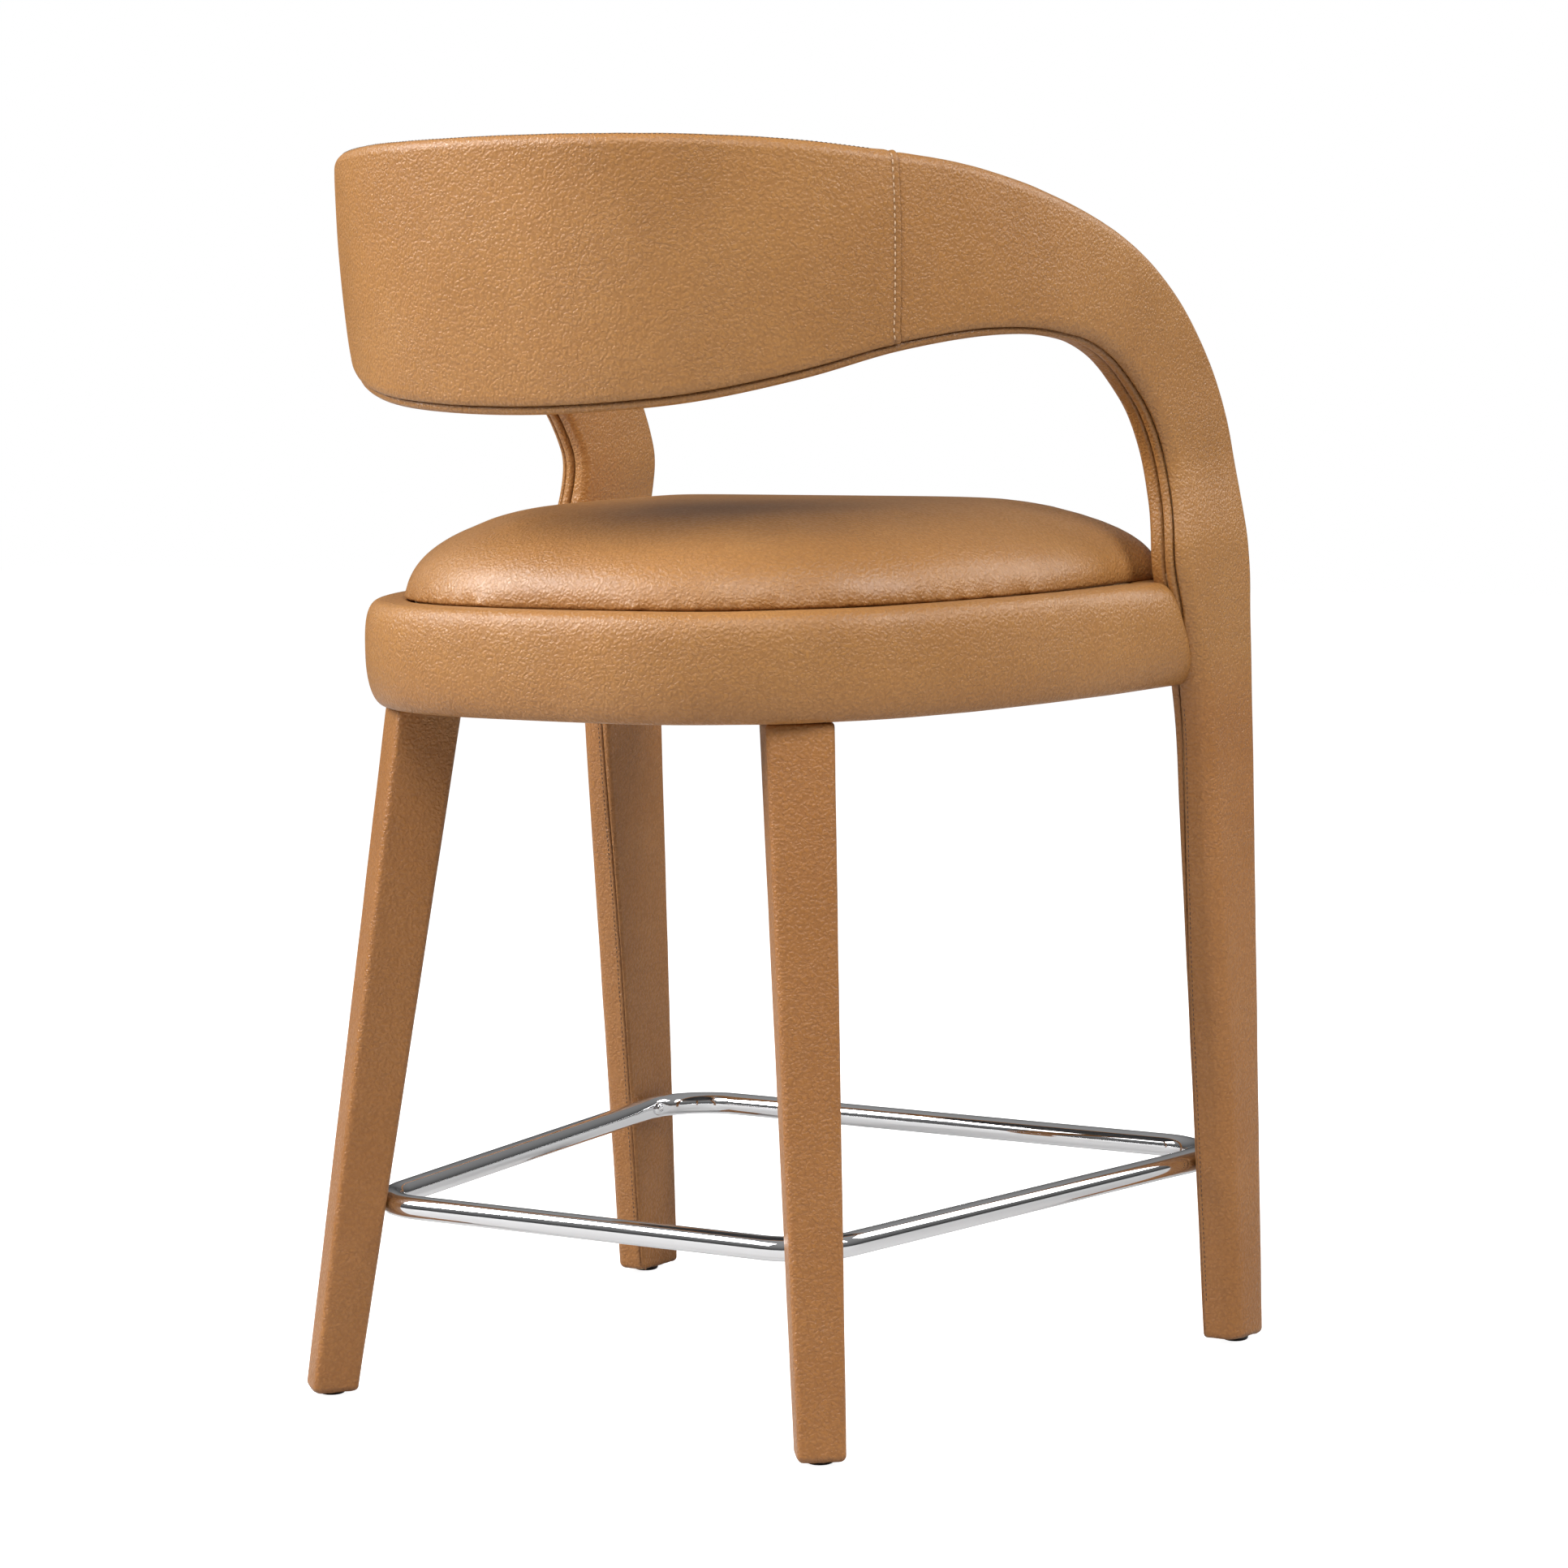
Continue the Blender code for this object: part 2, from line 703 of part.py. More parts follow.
def seat():
    """Builds the drum; returns what the arm bolts go through, and what the leg bolts do."""
    envelopes = [arm_envelope(name, side) for name, side in SIDES.items()]
    zone = front_zone()
    frame_mesh = loft("seat_frame", frame_rows(), closed=True, looped=True)
    frame = smooth(add_object("seat_frame", frame_mesh, "wood"))
    plate("seat_board", BOARD_INSET, DRUM_TOP - BOARD_THICKNESS, DRUM_TOP, "wood")
    dust_bottom = DRUM_BOTTOM + GAP
    dust = plate(
        "dust_cover", RETURN_INSET + GAP, dust_bottom, dust_bottom + DUST_THICKNESS, "dust_cloth"
    )
    cover_cutters = [*envelopes, zone]
    skin = drum_cover_profile()
    pad = drum_foam_profile()
    rear_cover = add_drum_skin(
        "apron_cover_rear", rear_rows(skin), LEATHER, "leather", cover_cutters
    )
    add_drum_skin("apron_foam_rear", rear_rows(pad), FOAM_WIDTH, "foam", cover_cutters)
    front_cover = add_drum_skin("apron_cover_front", front_rows(skin), LEATHER, "leather")
    front_foam = add_drum_skin("apron_foam_front", front_rows(pad), FOAM_WIDTH, "foam")
    cushion()
    return (frame, front_cover, front_foam), (frame, rear_cover, dust)


def arm_bolts(name, side, pieces):
    """Two bolts on each side hold the seat frame, pieces[0], between the arms."""
    inner_face = ARM_CLEARANCE - GAP - FRAME_INSET - FRAME_WIDTH
    outward = Vector((side, 0, 0))
    for place, height in ARM_BOLT_HEIGHTS.items():
        label = name + "_" + place
        origin = mirrored((inner_face - GAP, ARM_BOLT_Y, height), side)
        radius = ARM_BOLT_DIAMETER / 2
        head = ARM_BOLT_HEAD_DIAMETER / 2
        profile = (
            (0, ARM_BOLT_LENGTH),
            (radius, ARM_BOLT_LENGTH),
            (radius, 0),
            (head, 0),
            (head, -ARM_BOLT_HEAD_HEIGHT),
            (0, -ARM_BOLT_HEAD_HEIGHT),
        )
        placed(turned("arm_bolt_" + label, profile, "steel"), origin, outward)
        width = ARM_BOLT_DIAMETER + 2 * GAP
        hole = cone_mesh("bolt_hole", width, width, ARM_BOLT_LENGTH + 3 * GAP, SMALL_TURNS)
        cutter = add_cutter("arm_bolt_hole_" + label, hole)
        placed(cutter, origin - outward * GAP, outward)
        for piece in pieces:
            cut(piece, cutter)
        width = ARM_BOLT_HEAD_DIAMETER + 4 * GAP
        reach = 4 * ARM_BOLT_HEAD_HEIGHT
        pocket = add_cutter("arm_bolt_pocket_" + label, cone_mesh("pocket", width, width, reach))
        placed(pocket, origin - outward * (reach - GAP), outward)
        cut(pieces[0], pocket)


# ---------------------------------------------------------------- turned pieces
def turned(name, profile, material, closed=False):
    """A solid of revolution about Z; (radius, height) runs down the outer side."""
    bm = bmesh.new()
    points = [bm.verts.new((radius, 0, height)) for radius, height in profile]
    for start, stop in zip(points, points[1:]):
        bm.edges.new((start, stop))
    if closed:
        bm.edges.new((points[-1], points[0]))
    mesh = bpy.data.meshes.new(name)
    bm.to_mesh(mesh)
    bm.free()
    obj = add_object(name, mesh, material)
    modifier = obj.modifiers.new("turned", "SCREW")
    modifier.steps = TURNS
    modifier.render_steps = TURNS
    modifier.use_merge_vertices = True
    modifier.merge_threshold = 0.00005
    return smooth(obj)


# ---------------------------------------------------------------- rear legs
def rear_section(centre, width):
    half = width / 2
    turn = Matrix.Rotation(REAR_TURN, 2)
    plan = [Vector(corner) * half for corner in ((1, -1), (1, 1), (-1, 1), (-1, -1))]
    outline = rounded_polygon([turn @ corner for corner in plan], [REAR_CORNER] * 4)
    return [Vector((centre.x + point.x, centre.y + point.y, centre.z)) for point in outline]


def rear_rows_of_leg(inset):
    toe = rear_section(REAR_TOE, REAR_TOE_WIDTH - 2 * inset)
    head = rear_section(REAR_HEAD, REAR_HEAD_WIDTH - 2 * inset)
    return [toe, head]


def rear_leg(name, side, through):
    """A tapered core in a leather sleeve, bolted up through a spacer plate into the frame."""
    core_mesh = half_mesh("core", rear_rows_of_leg(LEATHER + GAP), side, True)
    core = smooth(add_object("rear_leg_core_" + name, core_mesh, "wood"))
    sleeve_mesh = half_mesh("sleeve", rear_rows_of_leg(0), side, False)
    sleeve = smooth(add_object("rear_leg_sleeve_" + name, sleeve_mesh, "leather"))
    thicken(sleeve, LEATHER)
    head = mirrored(REAR_HEAD, side)
    spacer = rear_spacer(name, side)
    bolt = cone_mesh(
        "leg_bolt", LEG_BOLT_DIAMETER, LEG_BOLT_DIAMETER, LEG_BOLT_BELOW + LEG_BOLT_ABOVE
    )
    start = head - Vector((0, 0, LEG_BOLT_BELOW))
    placed(smooth(add_object("rear_leg_bolt_" + name, bolt, "steel")), start)
    width = LEG_BOLT_DIAMETER + 2 * GAP
    length = LEG_BOLT_BELOW + LEG_BOLT_ABOVE + 2 * GAP
    hole = cone_mesh("leg_bolt_hole", width, width, length)
    cutter = placed(add_cutter("leg_bolt_hole_" + name, hole), start - Vector((0, 0, GAP)))
    for piece in (core, spacer, *through):
        cut(piece, cutter)
    return core, sleeve


def rear_spacer(name, side):
    bottom = REAR_HEAD + Vector((0, 0, GAP))
    top = REAR_HEAD + Vector((0, 0, GAP + PLATE_THICKNESS))
    rows = [rear_section(centre, PLATE_SIZE) for centre in (bottom, top)]
    return add_object("rear_leg_plate_" + name, half_mesh("plate", rows, side, True), "steel")


# ---------------------------------------------------------------- footrest
def ring_mesh(name, diameter, resolution):
    """The closed ring as a mesh of the given tube diameter."""
    corners = [
        Vector((RING_FRONT.x, RING_FRONT.y)),
        Vector((RING_REAR.x, RING_REAR.y)),
        Vector((-RING_REAR.x, RING_REAR.y)),
        Vector((-RING_FRONT.x, RING_FRONT.y)),
    ]
    path = rounded_polygon(corners, [RING_BEND] * 4, BEND_STEPS)
    curve = bpy.data.curves.new(name + "_path", "CURVE")
    curve.dimensions = "3D"
    curve.bevel_depth = diameter / 2
    curve.bevel_resolution = resolution
    spline = curve.splines.new("POLY")
    spline.points.add(len(path) - 1)
    for point, place in zip(spline.points, path):
        point.co = (place.x, place.y, RING_HEIGHT, 1)
    spline.use_cyclic_u = True
    guide = bpy.data.objects.new(name + "_path", curve)
    CUTTERS.objects.link(guide)
    evaluated = guide.evaluated_get(bpy.context.evaluated_depsgraph_get())
    bm = bmesh.new()
    bm.from_mesh(bpy.data.meshes.new_from_object(evaluated))
    bpy.data.objects.remove(guide)
    bmesh.ops.remove_doubles(bm, verts=bm.verts, dist=0.00005)
    return mesh_from(bm, name)


def footrest():
    """A hollow tube; the screw holes open it."""
    ring = smooth(add_object("footrest_ring", ring_mesh("ring", RING_TUBE, 4), "chrome"), 60)
    cut(ring, add_cutter("ring_bore", ring_mesh("bore", RING_TUBE - 2 * RING_WALL, 2)))
    return ring


def bend_centre(corner, before, after):
    to_last = (before - corner).normalized()
    to_next = (after - corner).normalized()
    half = to_last.angle(to_next) / 2
    return corner + (to_last + to_next).normalized() * RING_BEND / math.sin(half)


def ring_contacts():
    """Where the ring's centre line comes nearest to each left leg, and the way to the leg."""
    rear_middle = bend_centre(RING_REAR, RING_FRONT, Vector((-RING_REAR.x, RING_REAR.y)))
    front_middle = bend_centre(RING_FRONT, Vector((-RING_FRONT.x, RING_FRONT.y)), RING_REAR)
    radial = Vector((math.cos(REAR_TURN), math.sin(REAR_TURN)))
    sideways = Vector((1, 0))
    return {
        "rear": (rear_middle + radial * RING_BEND, radial),
        "front": (front_middle + sideways * RING_BEND, sideways),
    }


def footrest_screw(label, origin, outward, ring, sleeve, core):
    """A button-head screw through the tube into a threaded insert in the leg."""
    radius = SCREW_DIAMETER / 2
    head = SCREW_HEAD_DIAMETER / 2
    seat_level = -RING_TUBE / 2 - 4 * GAP
    end = seat_level - SCREW_HEAD_HEIGHT
    socket = SOCKET_DIAMETER / 2
    profile = (
        (0, seat_level + SCREW_LENGTH),
        (radius, seat_level + SCREW_LENGTH),
        (radius, seat_level),
        (head, seat_level),
        (head, seat_level - SCREW_HEAD_HEIGHT / 4),
        (head * 0.6, end),
        (socket, end),
        (socket, end + SOCKET_DEPTH),
        (0, end + SOCKET_DEPTH),
    )
    placed(turned("footrest_screw_" + label, profile, "chrome"), origin, outward)
    insert_start = RING_TUBE / 2 + 2 * LEATHER
    inside = radius + GAP
    outside = INSERT_DIAMETER / 2
    section = (
        (outside, insert_start + INSERT_LENGTH),
        (outside, insert_start),
        (inside, insert_start),
        (inside, insert_start + INSERT_LENGTH),
    )
    placed(turned("footrest_insert_" + label, section, "steel", closed=True), origin, outward)
    bore_start = seat_level - 5 * GAP
    bore_width = SCREW_DIAMETER + 2 * GAP
    bore_mesh = cone_mesh("bore", bore_width, bore_width, SCREW_LENGTH + 6 * GAP, SMALL_TURNS)
    bore = add_cutter("screw_bore_" + label, bore_mesh)
    placed(bore, origin + outward * bore_start, outward)
    cut(ring, bore)
    cut(sleeve, bore)
    width = INSERT_DIAMETER + 2 * GAP
    pocket_start = RING_TUBE / 2
    depth = 2 * LEATHER + INSERT_LENGTH + GAP
    pocket = add_cutter("insert_pocket_" + label, cone_mesh("pocket", width, width, depth))
    placed(pocket, origin + outward * pocket_start, outward)
    cut(core, pocket)


# ---------------------------------------------------------------- glides
def glide(label, toe, core):
    """A nail-on glide under a leg."""
    ground = Vector((toe.x, toe.y, 0))
    radius = GLIDE_DIAMETER / 2
    shank = NAIL_DIAMETER / 2 + GAP
    counterbore = 1.4 * NAIL_DIAMETER
    ledge = 0.6 * GLIDE_HEIGHT
    chamfer = 0.25 * GLIDE_HEIGHT
    section = (
        (radius, GLIDE_HEIGHT),
        (radius, chamfer),
        (radius - chamfer, 0),
        (counterbore, 0),
        (counterbore, ledge),
        (shank, ledge),
        (shank, GLIDE_HEIGHT),
    )
    placed(turned("glide_" + label, section, "plastic", closed=True), ground)
    head = counterbore - GAP
    top = GLIDE_HEIGHT + NAIL_LENGTH
    nail = (
        (0, top),
        (NAIL_DIAMETER / 2, top - NAIL_DIAMETER),
        (NAIL_DIAMETER / 2, ledge - GAP),
        (head, ledge - GAP),
        (head, ledge / 2),
        (0, ledge / 2),
    )
    placed(turned("glide_nail_" + label, nail, "steel"), ground)
    width = NAIL_DIAMETER + 2 * GAP
    hole = cone_mesh("nail_hole", width, width, NAIL_LENGTH + GLIDE_HEIGHT, SMALL_TURNS)
    cutter = placed(add_cutter("nail_hole_" + label, hole), ground + Vector((0, 0, GAP)))
    cut(core, cutter)


# ---------------------------------------------------------------- the stool
def centre_on_origin():
    """Hangs every piece and cutter on one empty, which moves the stool's middle to the origin."""
    middle = bpy.data.objects.new("stool_middle", None)
    bpy.context.scene.collection.objects.link(middle)
    for obj in [*PARTS.objects, *CUTTERS.objects]:
        obj.parent = middle
    middle.location = (0, -MIDDLE_Y, 0)


def build():
    shell = back_and_arms()
    beside_arms, over_legs = seat()
    ring = footrest()
    contacts = ring_contacts()
    for name, side in SIDES.items():
        post, front_sleeve = front_leg(name, side)
        arm_joint(name, side, post, shell)
        arm_bolts(name, side, (*beside_arms, front_sleeve, post))
        core, rear_sleeve = rear_leg(name, side, over_legs)
        for end, wood, sleeve in (("front", post, front_sleeve), ("rear", core, rear_sleeve)):
            place, direction = contacts[end]
            origin = mirrored((place.x, place.y, RING_HEIGHT), side)
            outward = mirrored((direction.x, direction.y, 0), side)
            footrest_screw(end + "_" + name, origin, outward, ring, sleeve, wood)
        glide("front_" + name, front_toe(side), post)
        glide("rear_" + name, mirrored(REAR_TOE, side), core)
    centre_on_origin()


clear_scene()
PARTS = new_collection("bar_stool")
CUTTERS = new_collection("cutters")
FINISH = {name: make_material(name) for name in MATERIALS}
build()
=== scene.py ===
"""Looks of the counter stool: leather upholstery, chrome footrest, glides, light and camera.

Metres, +Z up, front at -Y, the sitter's left at +X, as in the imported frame.
"""

import math

import bpy
import numpy as np
from mathutils import Matrix, Vector, noise


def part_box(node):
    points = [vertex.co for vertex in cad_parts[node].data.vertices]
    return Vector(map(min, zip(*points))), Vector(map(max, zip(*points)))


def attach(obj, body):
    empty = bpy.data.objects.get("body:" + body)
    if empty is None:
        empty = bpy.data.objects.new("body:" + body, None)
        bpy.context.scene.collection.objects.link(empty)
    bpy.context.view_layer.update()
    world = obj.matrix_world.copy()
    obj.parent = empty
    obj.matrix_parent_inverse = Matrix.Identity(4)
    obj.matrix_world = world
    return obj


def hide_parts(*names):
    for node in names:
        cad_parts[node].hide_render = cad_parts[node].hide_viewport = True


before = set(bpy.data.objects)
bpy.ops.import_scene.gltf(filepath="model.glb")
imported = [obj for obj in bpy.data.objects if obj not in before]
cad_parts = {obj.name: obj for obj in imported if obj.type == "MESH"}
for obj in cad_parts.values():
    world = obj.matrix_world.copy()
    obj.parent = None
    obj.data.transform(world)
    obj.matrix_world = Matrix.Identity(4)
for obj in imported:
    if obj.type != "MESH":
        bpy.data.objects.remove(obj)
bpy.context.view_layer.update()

MIDDLE_Y = 0.0122  # the frame's origin, in the coordinates that the outlines below use
scene = bpy.context.scene

# ---- upholstered wall, as in the CAD
WALL_HALF_WIDTH = 0.285
WALL_REAR = 0.284
WALL_POWER = 2.5
PLAN_CENTRE = -0.142
LEAN = 0.12
LEAN_HEIGHT = 0.80
# the arms bend in and forward above the seat: how far, and the heights over which it grows
ARM_BENDS = ((0.0095, 0.592, 0.665), (0.0120, 0.592, 0.665))
BEND_FADES = (0.700, 0.840)  # heights over which both die out again
BEND_DISTANCES = (0.42, 0.56)  # distances round the plan between the back and the bent arm
THICKNESS = 0.0292
LEATHER = 0.0014

# matched (distance round the plan, height) of the upper or front edge and the lower or rear edge
WALL_PAIRS = (
    ((0.000, 0.892), (0.000, 0.705)),
    ((0.065, 0.8915), (0.065, 0.7068)),
    ((0.130, 0.890), (0.130, 0.712)),
    ((0.215, 0.885), (0.215, 0.727)),
    ((0.2925, 0.8761), (0.287, 0.7434)),
    ((0.345, 0.8688), (0.345, 0.751)),
    ((0.412, 0.8538), (0.402, 0.753)),
    ((0.470, 0.8362), (0.440, 0.750)),
    ((0.511, 0.8210), (0.470, 0.745)),
    ((0.557, 0.7983), (0.502, 0.733)),
    ((0.6043, 0.7648), (0.538, 0.709)),
    ((0.6473, 0.7174), (0.562, 0.685)),
    ((0.6652, 0.6838), (0.576, 0.662)),
    ((0.680, 0.636), (0.585, 0.630)),
)
# front leg: height, front Y, rear Y
LEG_LEVELS = (
    (0.5770, -0.2480, -0.1437),
    (0.5450, -0.2498, -0.1552),
    (0.5120, -0.2517, -0.1671),
    (0.4700, -0.2532, -0.1763),
    (0.4200, -0.2539, -0.1799),
    (0.3700, -0.2545, -0.1834),
    (0.2500, -0.2560, -0.1919),
    (0.1300, -0.2574, -0.2004),
    (0.0040, -0.2590, -0.2093),
)
SEAM = 0.2925  # distance round the plan of the upright seams


# ---- points and lines
def unit(rows):
    return rows / np.linalg.norm(rows, axis=1)[:, None]


def lengths_along(points):
    """The distance of each point along a line, from its first."""
    steps = np.linalg.norm(np.diff(points, axis=0), axis=1)
    return np.concatenate(([0], np.cumsum(steps)))


def read_line(at, places, table):
    """The columns of a table, read at other places."""
    return np.stack([np.interp(at, places, column) for column in table.T], axis=-1)


def smoothstep(x, low, high):
    t = np.clip((np.asarray(x, float) - low) / (high - low), 0, 1)
    return t * t * (3 - 2 * t)


def blend(start, stop, share):
    return start + (stop - start) * share


def hermite(places, points, at):
    """A smooth curve through points at uneven places, evaluated at other places."""
    places, points, at = np.asarray(places), np.asarray(points, float), np.asarray(at)
    gaps = np.diff(places)
    slopes = np.diff(points, axis=0) / gaps[:, None]
    tangents = np.empty_like(points)
    tangents[1:-1] = (slopes[:-1] * gaps[1:, None] + slopes[1:] * gaps[:-1, None]) / (
        gaps[:-1] + gaps[1:]
    )[:, None]
    tangents[0], tangents[-1] = slopes[0], slopes[-1]
    k = np.clip(np.searchsorted(places, at, side="right") - 1, 0, len(gaps) - 1)
    h = gaps[k]
    t = ((at - places[k]) / h)[:, None]
    h = h[:, None]
    return (
        (2 * t**3 - 3 * t**2 + 1) * points[k]
        + (t**3 - 2 * t**2 + t) * h * tangents[k]
        + (3 * t**2 - 2 * t**3) * points[k + 1]
        + (t**3 - t**2) * h * tangents[k + 1]
    )


# ---- meshes from grids
def linked(name, data):
    """A new object with this data, in the scene."""
    obj = bpy.data.objects.new(name, data)
    scene.collection.objects.link(obj)
    return obj


def smooth_mesh(name, verts, faces):
    mesh = bpy.data.meshes.new(name)
    mesh.from_pydata([tuple(v) for v in verts], [], [tuple(f) for f in faces])
    mesh.validate()
    mesh.shade_smooth()
    return linked(name, mesh)


def grid_faces(rows, columns, closed=False, looped=False, start=0):
    """Faces of a grid of points; closed joins its last column, and looped its last row, to the first."""
    faces = []
    for i in range(rows if looped else rows - 1):
        below = (i + 1) % rows
        for j in range(columns if closed else columns - 1):
            beside = (j + 1) % columns
            corners = ((i, j), (i, beside), (below, beside), (below, j))
            faces.append(tuple(start + row * columns + column for row, column in corners))
    return faces


def tube_faces(rows, columns, start=0):
    """Faces of a grid that closes into a tube, with both ends."""
    end = start + rows * columns
    caps = [tuple(range(start, start + columns))[::-1], tuple(range(end - columns, end))]
    return grid_faces(rows, columns, closed=True, start=start) + caps


def sheet_from(name, grid, flip=False, closed=False, looped=False, seam=None):
    """A surface through a grid of points; seam is the strength of the painted shade in grooves and folds, 1
    on a seam and falling to 0 beside it, and becomes the mesh's seam attribute.
    """
    rows, columns = grid.shape[:2]
    faces = grid_faces(rows, columns, closed, looped)
    if flip:
        faces = [face[::-1] for face in faces]
    obj = smooth_mesh(name, grid.reshape(-1, 3), faces)
    if seam is not None:
        near = obj.data.attributes.new("seam", "FLOAT", "POINT")
        near.data.foreach_set("value", np.ascontiguousarray(seam, np.float32).ravel())
    return obj


def mirror_grid(grid):
    return grid * np.array((-1, 1, 1))


def thicken(obj, thickness=LEATHER):
    """Gives a leather sheet its thickness, inwards from its outer face."""
    modifier = obj.modifiers.new("thickness", "SOLIDIFY")
    modifier.thickness = thickness
    modifier.offset = -1
    return obj


# ---- the wall's plan
def superellipse(half_width, end, power, angles):
    s, c = np.sin(angles), np.maximum(np.cos(angles), 0)
    x = half_width * s ** (2 / power)
    y = PLAN_CENTRE + (end - PLAN_CENTRE) * c ** (2 / power)
    return np.stack((x, y), axis=-1)


def plan_table():
    """Arc length, point and outward normal along the curved half of the wall's plan."""
    angles = np.pi / 2 * np.linspace(0, 1, 1601)
    points = superellipse(WALL_HALF_WIDTH, WALL_REAR, WALL_POWER, angles)
    lengths = lengths_along(points)
    even = np.linspace(0, lengths[-1], 801)
    points = read_line(even, lengths, points)
    along = np.gradient(points, axis=0)
    along[0], along[-1] = (1, 0), (0, -1)
    along = unit(along)
    normals = np.stack((-along[:, 1], along[:, 0]), axis=-1)
    return even, points, normals


PLAN = plan_table()
CURVED = PLAN[0][-1]


def arm_bend(away, height):
    """How far an arm is bent in, and how far forward."""
    share = (1 - smoothstep(height, *BEND_FADES)) * smoothstep(away, *BEND_DISTANCES)
    return [reach * share * smoothstep(height, low, high) for reach, low, high in ARM_BENDS]


def wall_point(distance, height, depth):
    """Points of the wall in the frame, depth inside its outer face; distance is signed."""
    distance, height, depth = np.broadcast_arrays(distance, height, depth)
    side = np.where(distance < 0, -1.0, 1.0)
    away = np.abs(distance)
    lengths, points, normals = PLAN
    straight = np.maximum(away - CURVED, 0)
    x, y = (np.interp(away, lengths, points[:, k]) for k in (0, 1))
    nx, ny = (np.interp(away, lengths, normals[:, k]) for k in (0, 1))
    y = y - straight
    behind = np.maximum(y - PLAN_CENTRE, 0) / (WALL_REAR - PLAN_CENTRE)
    inward, forward = arm_bend(away, height)
    x = x - nx * depth - inward
    y = y - ny * depth + LEAN * (height - LEAN_HEIGHT) * behind - forward
    return np.stack((x * side, y - MIDDLE_Y, height), axis=-1)


def wall_lines():
    """The places of the pairs, and both edges as (distance, height) points."""
    upper = [pair[0] for pair in WALL_PAIRS]
    lower = [pair[1] for pair in WALL_PAIRS]
    for height, front, rear in LEG_LEVELS:
        upper.append((CURVED + PLAN_CENTRE - front, height))
        lower.append((CURVED + PLAN_CENTRE - rear, height))
    upper, lower = np.array(upper), np.array(lower)
    # mirrored pairs ahead of the first make both edges level on the centre line
    flip = np.array((-1, 1))
    upper = np.concatenate((upper[2:0:-1] * flip, upper))
    lower = np.concatenate((lower[2:0:-1] * flip, lower))
    chords = np.linalg.norm(np.diff(upper, axis=0), axis=1)
    chords += np.linalg.norm(np.diff(lower, axis=0), axis=1)
    places = np.concatenate(([0], np.cumsum(chords / 2)))
    return places - places[2], upper, lower


LINES = wall_lines()
WALL_END = LINES[0][-1]
FINE = np.linspace(0, WALL_END, 4001)
FINE_EDGES = [hermite(LINES[0], LINES[k], FINE) for k in (1, 2)]


def place_at(column, value, edge=0):
    """The row place where an edge's distance (column 0) or height (1) passes a value."""
    values = FINE_EDGES[edge][:, column]
    sense = 1 if values[-1] > values[0] else -1
    return float(np.interp(value * sense, values * sense, FINE))


def wall_rows(places):
    """Edge points and outward edge normals, in wall coordinates, at signed row places."""
    places = np.asarray(places, float)
    side = np.where(places < 0, -1.0, 1.0)[:, None]
    rows = []
    for line, sense in ((LINES[1], 1), (LINES[2], -1)):
        away = np.abs(places)
        points = hermite(LINES[0], line, away)
        ahead, behind = (hermite(LINES[0], line, away + step) for step in (0.002, -0.002))
        along = unit(ahead - behind)
        normals = np.stack((-along[:, 1], along[:, 0]), axis=-1) * sense
        flip = np.concatenate((side, np.ones_like(side)), axis=1)
        rows.append((points * flip, normals * flip))
    return rows


# ---- the wall's section
# radii of the padded edges: in the wall's face, and through it
OUTER_LOW_ROLL = (0.0140, 0.0100)
OUTER_HIGH_ROLL = (0.0090, 0.0085)
INNER_ROLL = (0.0065, 0.0065)
LEG_ROLL_OUTER = (0.0135, 0.0135)
LEG_ROLL_INNER = (0.0035, 0.0035)
BACK_SEAM = 0.0030  # depth of the outer cover's lower seam behind the seat
ARM_SEAM = 0.0080  # and on the arms
STRIP_WIDTH = 0.0084
LEG_SEAM = 0.0225  # depth of the seam down the leg's rear face, at the top of the leg
CORNER_SEAM = THICKNESS - 0.0022  # and further down, where it reaches the inner rear corner
TOP_SEAM = 0.0085  # depth of the outer cover's upper seam on the back
ARM_TOP_SEAM = THICKNESS - 0.0035  # and on the arms
LIP = 0.0030  # how deep the leather turns in at a seam
LEG_LIP = 0.0013
LIP_WIDTH = 0.0008
# ranges over which the section changes: places from the back to the arm, and heights
ARM_PLACES = (0.30, 0.60)
TOP_SEAM_PLACES = (0.30, 0.62)
LEG_HEIGHTS = (0.495, 0.60)
CORNER_HEIGHTS = (0.24, 0.50)
LEG_SEAM_HEIGHTS = (0.48, 0.57)
STRIP_HEIGHTS = (0.500, 0.555)
# distances from a seam of the columns beside it, and the columns round a padded edge
SEAM_COLUMNS = (0, 0.0004, 0.0009, 0.0015, 0.0022, 0.0032, 0.0045)
ROLL_COLUMNS = 8
FAR = 1.0  # a distance past the reach of any seam


def leg_share(heights):
    """0 where the section is the arm's, 1 where it is the leg's."""
    return 1 - smoothstep(heights, *LEG_HEIGHTS)


def section_sizes(places):
    """Per row: outer and inner rolls (lower, upper), and the depths of the seams."""
    heights = wall_rows(places)[1][0][:, 1]
    share = leg_share(heights)

    def rolls(back, leg):
        return [[blend(roll[k], leg[k], share) for k in (0, 1)] for roll in back]

    outer = rolls((OUTER_LOW_ROLL, OUTER_HIGH_ROLL), LEG_ROLL_OUTER)
    inner = rolls((INNER_ROLL, INNER_ROLL), LEG_ROLL_INNER)
    first = blend(BACK_SEAM, ARM_SEAM, smoothstep(np.abs(places), *ARM_PLACES))
    leg_seam = blend(LEG_SEAM, CORNER_SEAM, 1 - smoothstep(heights, *CORNER_HEIGHTS))
    second = blend(first + STRIP_WIDTH, leg_seam, 1 - smoothstep(heights, *LEG_SEAM_HEIGHTS))
    first = blend(first, second, 1 - smoothstep(heights, *STRIP_HEIGHTS))
    top = blend(TOP_SEAM, ARM_TOP_SEAM, smoothstep(np.abs(places), *TOP_SEAM_PLACES))
    return outer, inner, first, second, top


def lip(distance, deep=LIP):
    """Inward pull of the leather at this distance from a seam."""
    return deep * np.exp(-((distance / LIP_WIDTH) ** 1.3))


